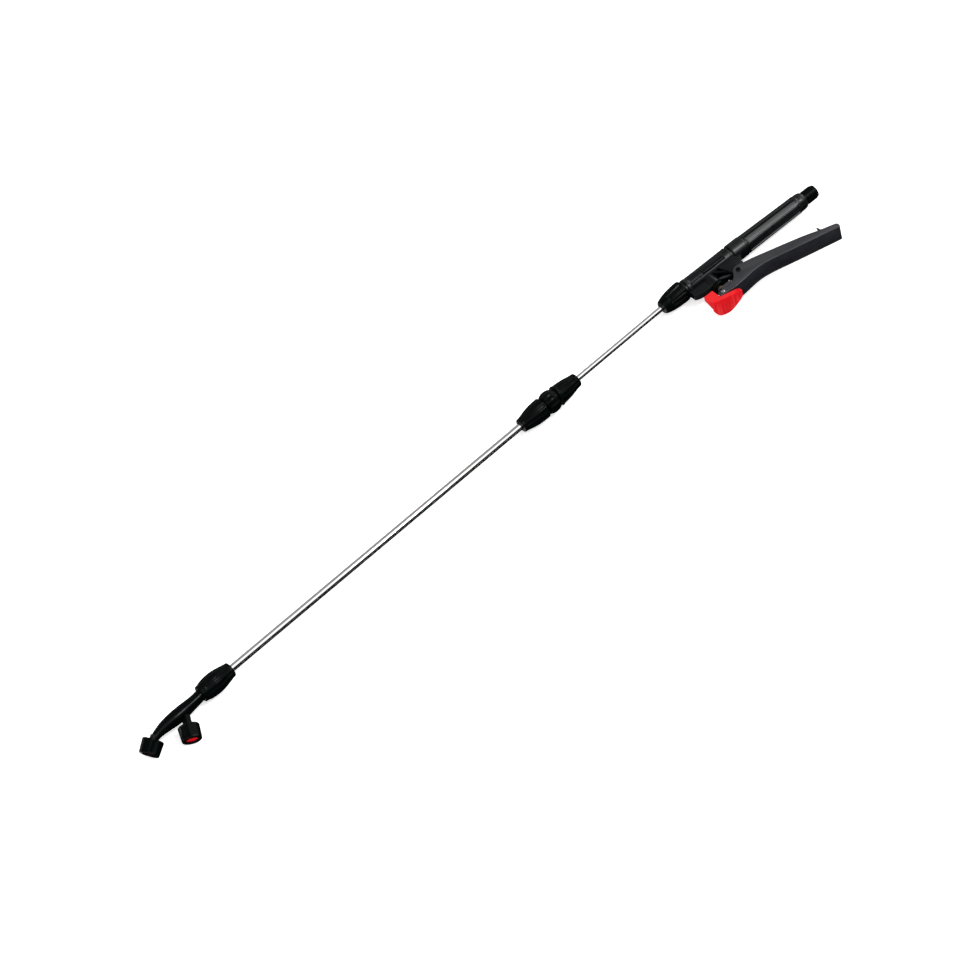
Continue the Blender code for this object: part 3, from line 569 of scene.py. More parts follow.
def ribbed(ribs, inner_limit):
    """A shape for turned(): round grooves between ribs outside inner_limit, and a rib's crest at the bottom."""
    def shape(station, radius, angle):
        if radius < inner_limit:
            return radius
        faded = smooth_step((station - ribs.first) / RUN_OUT) * smooth_step((ribs.last - station) / RUN_OUT)
        off = abs((angle * ribs.count / TAU) % 1.0 - 0.5) / ribs.share
        groove = math.cos(math.pi / 2 * off) if off < 1 else 0.0
        return radius - ribs.depth * faded * groove
    return shape


def nut_outline(nut, knots):
    """The nut's section: its swelling outside, the thread, the cone for the collet and the hole for the tube."""
    outside = curve_through(knots, 6)
    small = nut.tube_r + GAP
    foot = nut.face + math.copysign(FACE_LENGTH, nut.back - nut.face)
    inside = [(nut.face, small), (foot, small), (nut.seat, nut.thread_r), (nut.back, nut.thread_r)]
    if nut.face < nut.back:
        inside.reverse()
    return stretched(outside + inside, RING_STEP)


def clamp_nut(name, nut, knots, ribs):
    """A compression nut, on a body of its own name."""
    shape = ribbed(ribs, nut.thread_r + 0.0001)
    bm = turned(nut_outline(nut, knots), ribs.count * STEPS_PER_RIB, shape)
    piece(name + "_shell", bm, LANCE, name, BLACK, name)


def nuts():
    clamp_nut("handle_nut", Nut(0.0, 0.0145, 0.0380, REAR_TUBE_R, 0.0094),
              [(0.0, 0.0082), (0.0003, 0.0091), (0.0013, 0.0097), (0.0050, 0.0111), (0.0110, 0.0125),
               (0.0170, 0.0134), (0.0240, 0.0141), (0.0310, 0.0145), (0.0362, 0.0145), (0.0376, 0.0141),
               (0.0380, 0.0133)],
              Ribs(16, 0.0090, 0.0362, 0.0010, 0.36))
    clamp_nut("coupling_front_nut", Nut(-0.2540, -0.2410, -0.2150, FRONT_TUBE_R, 0.0097),
              [(-0.2540, 0.0086), (-0.2537, 0.0094), (-0.2526, 0.0098), (-0.2508, 0.0099), (-0.2444, 0.0114),
               (-0.2362, 0.0132), (-0.2280, 0.0142), (-0.2180, 0.0146), (-0.2156, 0.0144), (-0.2150, 0.0136)],
              Ribs(12, -0.2526, -0.2150, 0.0010, 0.41))
    clamp_nut("coupling_rear_nut", Nut(-0.1550, -0.1710, -0.1910, REAR_TUBE_R, 0.0097),
              [(-0.1910, 0.0136), (-0.1906, 0.0143), (-0.1896, 0.0145), (-0.1880, 0.0139), (-0.1789, 0.0132),
               (-0.1707, 0.0121), (-0.1625, 0.0105), (-0.1562, 0.0095), (-0.1553, 0.0091), (-0.1550, 0.0084)],
              Ribs(12, -0.1888, -0.1568, 0.0010, 0.41))
    clamp_nut("head_nut", Nut(-0.7486, -0.7640, -0.7987, FRONT_TUBE_R, 0.0092),
              [(-0.7987, 0.0100), (-0.7984, 0.0109), (-0.7975, 0.0114), (-0.7940, 0.0118), (-0.7910, 0.0130),
               (-0.7830, 0.0141), (-0.7755, 0.0143), (-0.7680, 0.0136), (-0.7604, 0.0121), (-0.7529, 0.0105),
               (-0.7496, 0.0099), (-0.7488, 0.0095), (-0.7486, 0.0088)],
              Ribs(12, -0.7925, -0.7505, 0.0010, 0.41))


def coupling_barrel():
    """Ribbed ball between the two coupling nuts, with a threaded spigot into each."""
    ball = curve_through([(-0.2124, 0.0112), (-0.2120, 0.0126), (-0.2085, 0.0147), (-0.2030, 0.01545),
                          (-0.1975, 0.0147), (-0.1940, 0.0130), (-0.1935, 0.0112)], 7)
    spigot_r = 0.0093
    outside = [(-0.2400, spigot_r - 0.0005), (-0.2395, spigot_r), (-0.2130, spigot_r), (-0.2124, spigot_r)]
    outside += ball
    outside += [(-0.1935, spigot_r), (-0.1725, spigot_r), (-0.1720, spigot_r - 0.0005)]
    wide = FRONT_TUBE_R + GAP
    narrow = REAR_TUBE_R + GAP
    bore = [(-0.2400, wide), (-0.2055, wide), (-0.2054, narrow), (-0.1755, narrow), (-0.1754, 0.0061),
            (-0.1720, 0.0061)]
    ribs = Ribs(9, -0.2122, -0.1937, 0.0012, 0.34)
    bm = turned(stretched(outside + bore[::-1], RING_STEP), ribs.count * STEPS_PER_RIB, ribbed(ribs, 0.0110))
    piece("coupling_barrel", bm, LANCE, "front_lance", BLACK, "coupling_body")


# ---------------------------------------------------------------- tubes
def tube(name, node, radius, body):
    """A plain tube as long as its CAD node, with softened ends."""
    low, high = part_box(node)
    start, end = low.x - LANCE.translation.x, high.x - LANCE.translation.x
    soft = 0.0002
    inner = radius - TUBE_WALL
    outline = rounded([(start, radius, soft), (end, radius, soft), (end, inner, soft), (start, inner, soft)], 3)
    piece(name, turned(outline, 64), LANCE, body, STEEL, node)


# ---------------------------------------------------------------- grip and hose inlet
GRIP_FRONT = 0.1105
GRIP_REAR = 0.2400
GROOVED = (0.1352, 0.2265)    # stations between which the grip has lands and grooves
LANDS = 8
GROOVE_TURN = math.radians(6.3)   # first groove, off the top of the grip towards the lever
GROOVE_DEPTH = 0.0021
GROOVE_SHARE = 0.145          # half a groove's width, as a share of the pitch
FLATNESS = 0.85               # 0 leaves the lands round, 1 makes them flat
LAND_RISE = 0.0003            # how far the lands stand out of the round parts


def grip_shape(station, radius, angle):
    """Eight flattened lands with a steep-sided groove between each two; the bore stays round."""
    if radius < 0.0110:
        return radius
    first, last = GROOVED
    faded = smooth_step((station - first) / 0.0014) * smooth_step((last - station) / 0.0040)
    off = ((angle - GROOVE_TURN) * LANDS / TAU + 0.5) % 1.0 - 0.5
    from_land = (0.5 - abs(off)) * TAU / LANDS
    flat = 1 - math.cos(math.pi / LANDS) / math.cos(from_land)
    cut = max(0.0, 1 - abs(off / GROOVE_SHARE) ** 7)
    return radius - (FLATNESS * flat * radius + GROOVE_DEPTH * cut - LAND_RISE) * faded


def grip():
    """Grip sleeve with a stepped collar in front, grooved lands and a neck at the inlet."""
    outer = rounded([
        (GRIP_FRONT, 0.0109, 0), (GRIP_FRONT, 0.0134, 0.0004), (GRIP_FRONT + 0.0008, 0.0141, 0.0005),
        (0.1318, 0.0141, 0.0006), (0.1326, 0.0128, 0.0003), (0.1344, 0.0128, 0.0003), (0.1352, 0.0137, 0.0006),
        (0.1600, 0.0134, 0.0100), (0.1950, 0.0130, 0.0100), (0.2270, 0.0127, 0.0008), (0.2285, 0.0122, 0.0006),
        (0.2350, 0.0120, 0.0020), (0.2390, 0.0112, 0.0012), (GRIP_REAR, 0.0100, 0.0006), (GRIP_REAR, 0.0079, 0)])
    bore = [(0.2311, 0.0079), (0.2310, 0.0095), (0.1263, 0.0095), (0.1262, 0.0109)]
    near = [point for point in stretched(outer, RING_STEP) if point[1] > 0.0080]
    bm = turned(near + [(GRIP_REAR, 0.0079)] + bore, LANDS * 40, grip_shape)
    piece("grip_shell", bm, HANDLE, "handle", GRIP_BLACK, "grip_sleeve")


INLET_END = 0.2610
THREAD = (0.2418, 0.2592)     # stations between which the thread runs
THREAD_PITCH = 0.0029
THREAD_DEPTH = 0.0010


def thread_shape(station, radius, angle):
    """A helical ridge with sloping flanks that fades at both ends; the bore stays round."""
    if radius < 0.0080:
        return radius
    first, last = THREAD
    faded = smooth_step((station - first) / 0.0022) * smooth_step((last - station) / 0.0022)
    turn = ((station - first) / THREAD_PITCH - angle / TAU) % 1.0
    crest = smooth_step((0.5 - abs(turn - 0.5)) / 0.5 * 2.4 - 0.55)
    return radius + THREAD_DEPTH * faded * crest


def hose_inlet():
    """Threaded tail that takes the hose's nut."""
    root = 0.0088
    outline = [(0.2250, 0.0076, 0.0004), (0.2396, 0.0076, 0), (0.2397, root, 0), (0.2600, root, 0),
               (INLET_END, root - 0.0004, 0.0004), (INLET_END, 0.0056, 0.0004), (0.2606, 0.0052, 0),
               (0.2250, 0.0052, 0)]
    bm = turned(stretched(rounded(outline), 0.00028), 96, thread_shape)
    piece("hose_inlet_thread", bm, HANDLE, "handle", BLACK, "hose_inlet")


# ---------------------------------------------------------------- valve body
def valve_body():
    """Casing of the shut-off valve: core, keel, valve boss, pivot ears, pads and ribs, moulded in one."""
    core = curve_through([(0.0372, 0.0128), (0.0600, 0.0129), (0.1000, 0.0134), (0.1060, 0.0136)], 6)
    profile = [(0.0288, 0.0104), (0.0290, 0.0112), (0.0308, 0.0113), (0.0314, 0.0118), (0.0318, 0.0130),
               (0.0322, 0.0133), (0.0360, 0.0133), (0.0366, 0.0131)]
    profile += core
    profile += [(0.1066, 0.0134), (0.1072, 0.0118), (0.1102, 0.0116), (0.1103, 0.0106), (0.1238, 0.0106)]
    keel = rounded([
        (0.0290, 0.0040, 0), (0.0290, 0.0212, 0.0018), (0.0330, 0.0238, 0.0030), (0.0430, 0.0264, 0.0050),
        (0.0520, 0.0270, 0.0040), (0.0600, 0.0270, 0), (0.0600, 0.0040, 0)])
    ear = rounded([
        (0.0790, 0.0080, 0), (0.0855, 0.0290, 0.0050), (0.0868, 0.0405, 0.0040), (0.0900, 0.0440, 0.0025),
        (0.0950, 0.0445, 0.0025), (0.0990, 0.0415, 0.0030), (0.1010, 0.0335, 0.0030), (0.1172, 0.0152, 0.0006),
        (0.1098, 0.0149, 0), (0.1060, 0.0080, 0)])
    # stiffening web under the body; its lobe towards the lever is dark plastic put where there is only shade, behind
    # the latch's leg
    web_with_shade_fill = [
        (0.0500, 0.0215), (0.0600, 0.0100), (0.0880, 0.0100), (0.0865, 0.0235), (0.0790, 0.0262),
        (0.0640, 0.0290), (0.0600, 0.0345), (0.0530, 0.0330), (0.0500, 0.0290)]
    play = 0.00035            # between an ear and the lever's cheek
    half = LEVER_HALF - CHEEK - play
    boss = solid_turned([(0.0, 0.0088), (0.0262, 0.0088), (0.0268, 0.0086), (0.0270, 0.0082)], 64)
    spigot = [(0.0157, 0.0086), (0.0161, 0.0090), (0.0420, 0.0090)]
    narrow = REAR_TUBE_R + GAP
    socket = [(0.0100, 0.0061), (0.0185, 0.0061), (0.0186, narrow), (0.0420, narrow)]
    steps = [
        (UNION, laid(solid_turned(spigot, 64), LANCE_TO_HANDLE)),
        (UNION, plate(keel, -0.0050, 0.0050, 0.0008)),
        (UNION, towards_lever(boss)),
        (UNION, plate(ear, 0.0045, half, 0.0006)),
        (UNION, plate(ear, -half, -0.0045, 0.0006)),
        (UNION, plate(web_with_shade_fill, -0.0094, -0.0074)),
        (UNION, block((0.0600, -0.0005, 0.0080), (0.0970, 0.0078, 0.0142), 0.0006, 3)),
        (UNION, block((0.0360, 0.0068, 0.0080), (0.0610, 0.0078, 0.0120), 0.0003)),
        (LESS, block((0.0612, 0.0044, 0.0132), (0.0960, 0.0066, 0.0160), 0.0004)),
        (UNION, plate(strut(0.0700, 0.0250, 0.0875, 0.0330), 0.0040, 0.0060)),
        (UNION, plate(strut(0.0720, 0.0100, 0.0880, 0.0260), 0.0040, 0.0060)),
        (LESS, solid_turned([(0.0300, 0.0045), (0.1300, 0.0045)], 48)),
        (LESS, laid(solid_turned(socket, 48), LANCE_TO_HANDLE)),
        (LESS, towards_lever(solid_turned([(-0.0070, 0.0063), (0.0300, 0.0063)], 48))),
        (LESS, pin_hole(PIVOT_HOLE_R, 40, PIVOT)),
    ]
    bm = joined(solid_turned(profile, 96), steps)
    piece("valve_casing", bm, HANDLE, "handle", BODY_BLACK, "valve_body")


HEXAGON_R = 0.0036            # from the stem nut's middle to its corners


def hexagon(station, radius, angle):
    """Six flats outside; the hole, whose radius is small, stays round."""
    if radius < 0.003:
        return radius
    flat = HEXAGON_R * math.cos(math.pi / 6) / math.cos((angle + math.pi / 6) % (math.pi / 3) - math.pi / 6)
    return min(flat, radius)


def valve_top():
    """What shows between the valve boss and the lever: gland, stem with its collar, and the stem's hexagon nut."""
    gland = rounded([(0.0215, 0.0060, 0), (0.0272, 0.0060, 0), (0.0273, 0.0088, 0.0004), (0.0330, 0.0088, 0.0010),
                     (0.0330, 0.0042, 0.0004), (0.0301, 0.0042, 0), (0.0300, 0.0023, 0), (0.0215, 0.0023, 0)])
    gland_bm = towards_lever(turned(gland, 64))
    piece("gland_shell", gland_bm, HANDLE, "handle", BLACK, "gland_cap")
    stem = [(-0.0043, 0.0046), (-0.0040, 0.0050), (-0.0022, 0.0050), (-0.0019, 0.0046), (-0.00185, 0.0020),
            (0.0355, 0.0020), (0.0356, 0.0043), (0.0359, 0.0046), (0.0377, 0.0046), (0.0380, 0.0043),
            (0.0381, 0.0020), (0.0487, 0.0020), (0.0490, 0.0017)]
    stem_bm = towards_lever(solid_turned(stem, 48))
    piece("stem_turned", stem_bm, HANDLE, "stem", BRASS, "valve_stem")
    low, high, hole = 0.0448, 0.0485, 0.0023
    section = [(low, hole), (low, 0.0032), (low + 0.0003, HEXAGON_R), (high - 0.0003, HEXAGON_R),
               (high, 0.0032), (high, hole)]
    nut_bm = towards_lever(turned(section, 60, hexagon))
    piece("stem_hexagon", nut_bm, HANDLE, "stem", BRASS, "stem_nut")


# ---------------------------------------------------------------- lever, pins and latch
LEVER_OUTER = [(0.0470, 0.0548), (0.0580, 0.0562), (0.0700, 0.0575), (0.0830, 0.0572), (0.0960, 0.0558),
               (0.1090, 0.0547), (0.1200, 0.0553), (0.1300, 0.0572), (0.1430, 0.0604), (0.1620, 0.0659),
               (0.1830, 0.0716), (0.2100, 0.0789), (0.2275, 0.0836)]
LEVER_NOSE = [(0.2300, 0.0838), (0.2318, 0.0827), (0.2325, 0.0800), (0.2318, 0.0775), (0.2303, 0.0760),
              (0.2275, 0.0747)]
LEVER_INNER = [(0.2090, 0.0678), (0.1910, 0.0602), (0.1740, 0.0541), (0.1570, 0.0483), (0.1350, 0.0410),
               (0.1200, 0.0361), (0.1110, 0.0338), (0.1030, 0.0316), (0.0970, 0.0304), (0.0905, 0.0312),
               (0.0865, 0.0345), (0.0820, 0.0408), (0.0760, 0.0456), (0.0670, 0.0480), (0.0550, 0.0478),
               (0.0480, 0.0488)]
WEB = 0.0028                  # thickness of the lever's outer web


def lever():
    """Channel-shaped trigger with a bridge that lifts the stem's nut, cross ribs inside and a hooked prong."""
    outline = curve_through(LEVER_OUTER, 4)[:-1]
    outline += curve_through([LEVER_OUTER[-1], *LEVER_NOSE], 3)[:-1]
    outline += curve_through([LEVER_NOSE[-1], *LEVER_INNER], 4)[:-1]
    outline += [LEVER_INNER[-1]]
    hollow = [(0.0400, LEVER_OUTER[0][1] - WEB)]
    hollow += [(x, p - WEB) for x, p in curve_through(LEVER_OUTER, 4)[:-2]]
    hollow += [(0.2290, 0.0800), (0.2290, 0.0600), (0.1200, 0.0200), (0.0400, 0.0200)]
    inside = LEVER_HALF - CHEEK
    steps = [(LESS, plate(hollow, -inside, inside))]
    for station, height in ((0.1180, 0.0450), (0.1420, 0.0500), (0.1660, 0.0570), (0.1900, 0.0640)):
        low = (station, height - 0.0050, -inside - 0.0005)
        high = (station + 0.0018, height + 0.0070, inside + 0.0005)
        steps.append((UNION, block(low, high)))
    steps.append((UNION, block((0.0545, 0.0400, -0.0085), (0.0760, 0.0422, 0.0085), 0.0003)))
    for side in (-1, 1):
        low, high = sorted((side * 0.0062, side * 0.0085))
        steps.append((UNION, block((0.0585, 0.0410, low), (0.0755, 0.0560, high))))
    steps += [
        (LESS, block((0.0560, 0.0350, -0.0026), (0.0652, 0.0430, 0.0026))),
        (LESS, block((0.0400, 0.0450, -0.0072), (0.0578, 0.0600, 0.0072))),
        (UNION, plate(prong_outline(), inside, LEVER_HALF - 0.0004, 0.0003)),
        (LESS, pin_hole(PIVOT_HOLE_R, 40, PIVOT)),
        (LESS, pin_hole(LOCK_HOLE_R, 32, LOCK_PIN)),
    ]
    bm = joined(plate(outline, -LEVER_HALF, LEVER_HALF, 0.0007, 3), steps)
    piece("lever_shell", bm, HANDLE, "lever", LEVER_BLACK, "lever")


def prong_outline():
    """Small hooked prong on the inner edge of the lever's upper cheek."""
    back = curve_through([(0.2075, 0.0730), (0.2079, 0.0668), (0.2084, 0.0635), (0.2094, 0.0612)], 3)
    front = curve_through([(0.2098, 0.0613), (0.2103, 0.0640), (0.2109, 0.0670), (0.2118, 0.0730)], 3)
    return back + front


def pin(name, node, radius, head_r, head, point, body, material):
    """A pin across the handle with a slightly domed and dished head at each end."""
    half = LEVER_HALF + GAP
    dome = [(0.0, 0.92), (0.35, 1.0), (0.65, 0.97), (0.90, 0.82), (1.0, 0.55), (0.94, 0.38), (0.90, 0.0)]
    low = [(-half - head * rise, head_r * share) for rise, share in reversed(dome[:-1])]
    high = [(half + head * rise, head_r * share) for rise, share in dome[:-1]]
    profile = low + [(-half + 0.00001, radius), (half - 0.00001, radius)] + high
    piece(name, across(solid_turned(profile, 48), point), HANDLE, body, material, node)


def latch():
    """Red latch: a tapering leg towards the body, a lug on its pin and a thumb paddle with rounded ends."""
    side = rounded([
        (0.0304, 0.0562, 0), (0.0450, 0.0562, 0.0010), (0.0560, 0.0592, 0.0050), (0.0670, 0.0622, 0.0030),
        (0.0705, 0.0645, 0.0020), (0.0724, 0.0685, 0.0020), (0.0705, 0.0706, 0.0015), (0.0620, 0.0682, 0.0060),
        (0.0500, 0.0652, 0.0060), (0.0400, 0.0622, 0.0050), (0.0325, 0.0594, 0.0030), (0.0304, 0.0575, 0.0010)], 5)
    face = rounded([
        (0.0286, 0.0160, 0), (0.0286, 0.0010, 0.0060), (0.0350, -0.0127, 0.0050), (0.0500, -0.0145, 0.0080),
        (0.0640, -0.0040, 0.0080), (0.0724, 0.0060, 0.0060), (0.0724, 0.0136, 0.0050), (0.0650, 0.0136, 0),
        (0.0650, 0.0160, 0)], 8)
    leg = [(0.0405, 0.0133), (0.0405, 0.0060), (0.0585, -0.0008), (0.0585, 0.0133)]
    lug = rounded([(0.0440, 0.0490, 0.0010), (0.0550, 0.0485, 0.0020), (0.0575, 0.0515, 0.0015),
                   (0.0555, 0.0545, 0.0010), (0.0535, 0.0600, 0), (0.0440, 0.0600, 0)])
    bm = joined(plate(side, -0.0142, 0.0135), [
        (COMMON, facing(face, 0.0500, 0.0800)),
        (UNION, endways(leg, 0.0308, 0.0452)),
    ])
    bm = joined(softened(bm, 0.0009, 3, 30), [
        (UNION, plate(lug, -0.0050, 0.0068)),
        (LESS, pin_hole(LOCK_HOLE_R, 32, LOCK_PIN)),
    ])
    piece("latch_shell", bm, HANDLE, "latch", RED, "lever_lock")


# ---------------------------------------------------------------- nozzle head
ARM = [  # forward, towards the lever's side, Z, radius
    (-0.0040, 0.0004, 0, 0.0076), (0.0030, 0.0008, 0, 0.0076), (0.0090, 0.0014, 0, 0.0077),
    (0.0190, 0.0018, 0, 0.0084), (0.0300, 0.0022, 0, 0.0093), (0.0420, 0.0024, 0.0002, 0.0095),
    (0.0530, 0.0024, 0.0008, 0.0087), (0.0630, 0.0028, 0.0015, 0.0075), (0.0720, 0.0040, 0.0021, 0.0062),
    (0.0790, 0.0058, 0.0024, 0.0054),
]
STALK_R = 0.0056
FEED_R = 0.0022               # water passages into the two nozzles


def stalk_shape(station, radius, angle):
    """Six lengthwise ribs on the side nozzle's stalk."""
    if radius < 0.004:
        return radius
    faded = smooth_step((-0.0008 - station) / 0.0010)
    rib = max(0.0, math.cos(angle * 6)) ** 2
    return radius + 0.0007 * faded * rib


def nozzle_arm():
    """Forked arm from the head nut's thread to the two nozzles, with its passages."""
    knots = curve_through(ARM, 5)
    wide = FRONT_TUBE_R + GAP
    socket = [(-0.0010, 0.0030), (0.0095, 0.0030), (0.0096, wide), (0.0300, wide), (0.0301, 0.0070), (0.0400, 0.0070)]
    steps = [
        (UNION, solid_turned([(0.0005, 0.0084), (0.0009, 0.0088), (0.0321, 0.0088), (0.0325, 0.0084)], 64)),
        (UNION, laid(solid_turned([(-0.0060, 0.0053), (0.0088, 0.0053), (0.0092, 0.0049)], 64), TIP_TO_HEAD)),
        (UNION, laid(solid_turned(side_stalk_profile(), 96, stalk_shape), SIDE_TO_HEAD)),
        (LESS, solid_turned(socket, 48)),
        (LESS, bar([knot[:3] for knot in ARM[1:-1]], [0.0024] * (len(ARM) - 2), 16)),
        (LESS, laid(solid_turned([(-0.0100, FEED_R), (0.0200, FEED_R)], 24), TIP_TO_HEAD)),
        (LESS, laid(solid_turned([(-0.0180, FEED_R), (0.0200, FEED_R)], 24), SIDE_TO_HEAD)),
    ]
    bm = joined(bar([knot[:3] for knot in knots], [knot[3] for knot in knots], 72), steps)
    piece("nozzle_arm_shell", bm, HEAD, "head", BLACK, "nozzle_arm")


def side_stalk_profile():
    """Enough rings for the ribs to fade, then the plain spigot in the cap."""
    count = 18
    stations = [-0.0170 + 0.0165 * k / (count - 1) for k in range(count)]
    return [(s, STALK_R) for s in stations] + [(-0.0004, 0.0053), (0.0088, 0.0053), (0.0092, 0.0049)]


CAP_FLUTES = 8
STEPS_PER_FLUTE = 20
FLUTE_DEPTH = 0.0010
FLUTE_SHARE = 0.40            # half a flute's width, as a share of the pitch


def cap_shape(station, radius, angle):
    """Broad shallow flutes between narrow ribs, all round the cap; the bore stays round."""
    if radius < 0.0088:
        return radius
    faded = smooth_step((station + 0.0004) / 0.0022) * smooth_step((CAP_LENGTH - 0.0004 - station) / 0.0024)
    off = abs((angle * CAP_FLUTES / TAU) % 1.0 - 0.5) / FLUTE_SHARE
    flute = math.cos(math.pi / 2 * off) ** 0.8 if off < 1 else 0.0
    return radius - FLUTE_DEPTH * faded * flute


def nozzle(label, matrix):
    """One adjustable nozzle: fluted cap and red outlet disc with a raised lip round its hole."""
    node = f"{label}_nozzle_cap"
    points = [matrix.inverted() @ v.co for v in frame["nodes"][node].data.vertices]
    rear_r = max(math.hypot(p.y, p.z) for p in points if p.x < CAP_LENGTH / 4)
    front_r = max(math.hypot(p.y, p.z) for p in points if p.x > CAP_LENGTH * 0.9)
    section = [(0.0, rear_r - 0.0001, 0.0014), (CAP_LENGTH, front_r - 0.0002, 0.0016), (CAP_LENGTH, 0.0080, 0.0005),
               (0.0181, 0.0076, 0), (0.0180, 0.0081, 0), (0.0096, 0.0081, 0), (0.0095, 0.0057, 0),
               (0.0, 0.0057, 0.0004)]
    bm = turned(stretched(rounded(section), RING_STEP), CAP_FLUTES * STEPS_PER_FLUTE, cap_shape)
    piece(f"{label}_cap_shell", bm, matrix, f"{label}_cap", BLACK, node)
    face = 0.0176
    disc = rounded([
        (0.0147, 0.0077, 0.0002), (face, 0.0077, 0.0004), (face, 0.0056, 0.0002), (face - 0.0007, 0.0050, 0.0003),
        (face - 0.0009, 0.0036, 0.0003), (face, 0.0031, 0.0002), (face, 0.0018, 0.0003), (0.0160, 0.0008, 0.0002),
        (0.0147, 0.0008, 0)])
    piece(f"{label}_outlet_disc", turned(disc, 72), matrix, f"{label}_cap", RED,
          f"{label}_nozzle_disc")


# ---------------------------------------------------------------- stage, light and camera
CAMERA_AZIMUTH = math.radians(-43.573)
CAMERA_ELEVATION = math.radians(62)
CAMERA_DISTANCE = 4.5494
CAMERA_AIM = Vector((-0.0291, 0.0193, LANCE.translation.z))
CAMERA_LENS = 135
FLOOR_GLOW = 0.6              # lifts the floor to near white, so that shadows on it stay faint
CARD_LENGTH = 3.0
CARD_WIDTH = 0.9
CARD_CLEAR = 0.0065           # from the lance's axis to the card's edge
CARD_HEIGHT = 0.0006


def floor():
    """Plain pale floor."""
    bm = bmesh.new()
    bmesh.ops.create_grid(bm, x_segments=1, y_segments=1, size=40)
    made = loose("studio_floor", bm)
    nodes = Nodes("studio_floor")
    tone = nodes.mixed(nodes.ranged(nodes.noise(1.5, 3), 0.3, 0.7, 0.0, 1.0), (0.93, 0.93, 0.93), (0.94, 0.94, 0.94))
    nodes.set(Base_Color=tone, Roughness=0.9, Specular_IOR_Level=0.0, Emission_Color=(1, 1, 1, 1),
              Emission_Strength=FLOOR_GLOW)
    made.data.materials.append(nodes.material)


def reflection_card(name, side, tone):
    """A card on the floor on one side of the lance, seen only in reflections: it gives the tubes an edge."""
    bm = bmesh.new()
    bmesh.ops.create_grid(bm, x_segments=1, y_segments=1, size=0.5)
    made = loose(name, bm)
    made.scale = (CARD_LENGTH, CARD_WIDTH, 1)
    made.location = (0, LANCE.translation.y + side * (CARD_CLEAR + CARD_WIDTH / 2), CARD_HEIGHT)
    nodes = Nodes(name)
    nodes.set(Base_Color=(tone, tone, tone, 1.0), Roughness=0.9, Specular_IOR_Level=0.0)
    made.data.materials.append(nodes.material)
    for ray in ("camera", "diffuse", "shadow", "transmission", "volume_scatter"):
        setattr(made, "visible_" + ray, False)


SKY = [  # degrees from the zenith, round the lance towards the lever's side; brightness
    (-90, 0.28), (-62, 0.42), (-37, 0.45), (-32, 0.16), (-27, 0.16),
    (-20, 1.5), (33, 1.5), (43, 0.015), (90, 0.015),
]


def studio_world():
    """A long strip of light above the lance and parallel to it, a grey wall behind, and black in front."""
    world = bpy.data.worlds.new("studio")
    bpy.context.scene.world = world
    world.use_nodes = True
    tree = world.node_tree
    tree.nodes.clear()
    place = tree.nodes.new("ShaderNodeTexCoord")
    split = tree.nodes.new("ShaderNodeSeparateXYZ")
    around = tree.nodes.new("ShaderNodeMath")
    around.operation = "ARCTAN2"
    curve = tree.nodes.new("ShaderNodeFloatCurve")
    points = curve.mapping.curves[0].points
    curve.mapping.use_clip = False
    top = max(strength for _, strength in SKY)
    scaled = [((angle + 90) / 180, strength / top) for angle, strength in SKY]
    points[0].location = scaled[0]
    points[1].location = scaled[-1]
    for place_on in scaled[1:-1]:
        points.new(*place_on)
    for point in points:
        point.handle_type = "VECTOR"
    curve.mapping.update()
    turn = tree.nodes.new("ShaderNodeMapRange")
    turn.inputs["From Min"].default_value = math.pi / 2
    turn.inputs["From Max"].default_value = -math.pi / 2
    level = tree.nodes.new("ShaderNodeMath")
    level.operation = "MULTIPLY"
    level.inputs[1].default_value = top
    path = tree.nodes.new("ShaderNodeLightPath")
    mix = tree.nodes.new("ShaderNodeMix")
    mix.inputs["B"].default_value = 1.0
    light = tree.nodes.new("ShaderNodeBackground")
    out = tree.nodes.new("ShaderNodeOutputWorld")
    tree.links.new(place.outputs["Generated"], split.inputs[0])
    tree.links.new(split.outputs["Y"], around.inputs[0])
    tree.links.new(split.outputs["Z"], around.inputs[1])
    tree.links.new(around.outputs[0], turn.inputs["Value"])
    tree.links.new(turn.outputs[0], curve.inputs["Value"])
    tree.links.new(curve.outputs[0], level.inputs[0])
    tree.links.new(path.outputs["Is Camera Ray"], mix.inputs["Factor"])
    tree.links.new(level.outputs[0], mix.inputs["A"])
    tree.links.new(mix.outputs[0], light.inputs["Strength"])
    tree.links.new(light.outputs[0], out.inputs["Surface"])


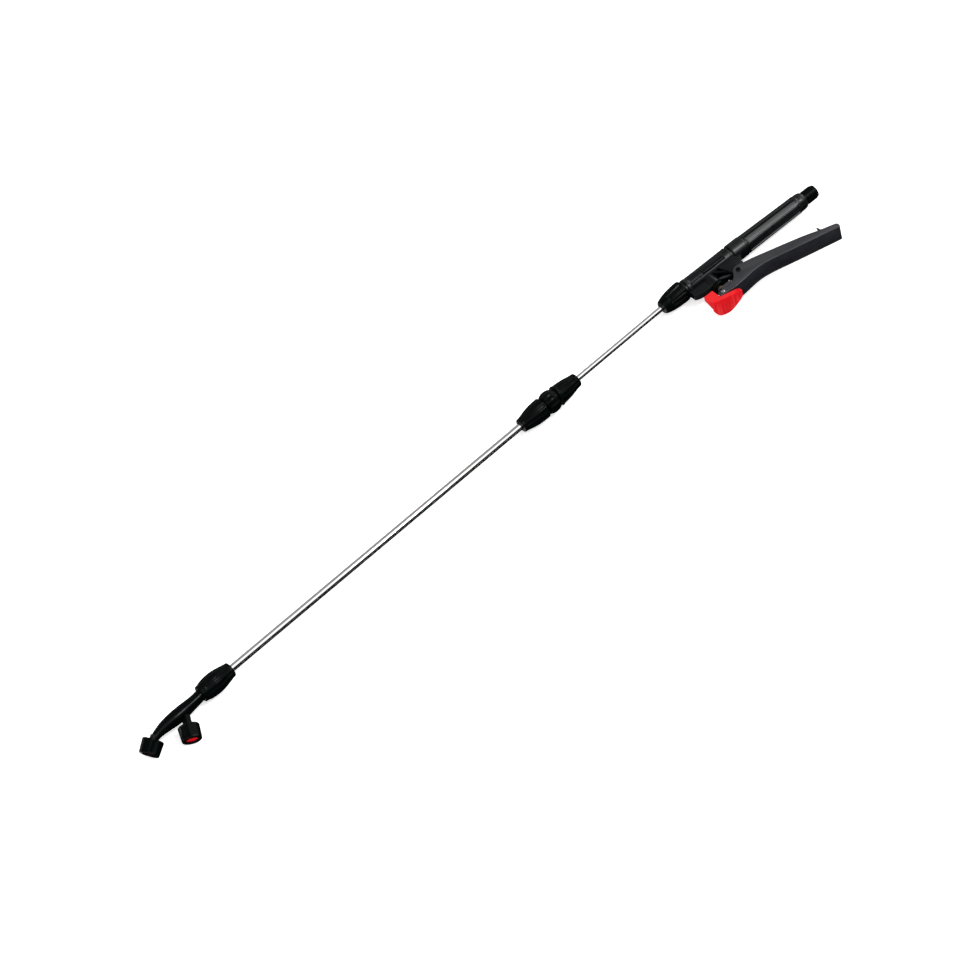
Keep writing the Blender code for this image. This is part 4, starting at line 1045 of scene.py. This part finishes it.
def lamp(name, direction, strength, spread):
    """A soft distant light that shines from the given direction."""
    data = bpy.data.lights.new(name, "SUN")
    data.energy = strength
    data.angle = math.radians(spread)
    made = bpy.data.objects.new(name, data)
    bpy.context.scene.collection.objects.link(made)
    made.rotation_mode = "QUATERNION"
    made.rotation_quaternion = Vector(direction).to_track_quat("Z", "Y")


def camera():
    """The camera stands at an azimuth from -Y and an elevation, and looks at its aim."""
    data = bpy.data.cameras.new("camera")
    data.lens = CAMERA_LENS
    data.sensor_width = 36
    data.dof.use_dof = False
    data.clip_start = 0.1
    data.clip_end = 200
    made = bpy.data.objects.new("camera", data)
    bpy.context.scene.collection.objects.link(made)
    level = math.cos(CAMERA_ELEVATION)
    back = Vector((math.sin(CAMERA_AZIMUTH) * level, -math.cos(CAMERA_AZIMUTH) * level, math.sin(CAMERA_ELEVATION)))
    made.location = CAMERA_AIM + back * CAMERA_DISTANCE
    made.rotation_mode = "QUATERNION"
    made.rotation_quaternion = back.to_track_quat("Z", "Y")
    bpy.context.scene.camera = made


def studio():
    """Floor, cards, world, lamps and camera."""
    floor()
    reflection_card("black_card", -1, 0.0)
    reflection_card("grey_card", 1, 0.16)
    studio_world()
    lamp("key_light", (0.324, -0.180, 0.929), 1.3, 7)
    lamp("rear_light", (0.830, 0.330, 0.450), 1.0, 30)
    lamp("front_light", (-0.90, 0.10, 0.42), 0.6, 40)
    camera()
    bpy.context.scene.view_settings.view_transform = "Standard"


finish_cad_nodes()
nuts()
coupling_barrel()
tube("rear_tube_polished", "rear_tube", REAR_TUBE_R, "rear_lance")
tube("front_tube_polished", "front_tube", FRONT_TUBE_R, "front_lance")
grip()
hose_inlet()
valve_body()
valve_top()
lever()
pin("lever_pin_turned", "lever_pin", 0.0024, 0.0036, 0.0014, PIVOT, "handle", BLACK)
pin("latch_pin_turned", "lock_pin", 0.0015, 0.0026, 0.0008, LOCK_PIN, "lever", PIN_STEEL)
latch()
nozzle_arm()
nozzle("tip", TIP)
nozzle("side", SIDE)
studio()
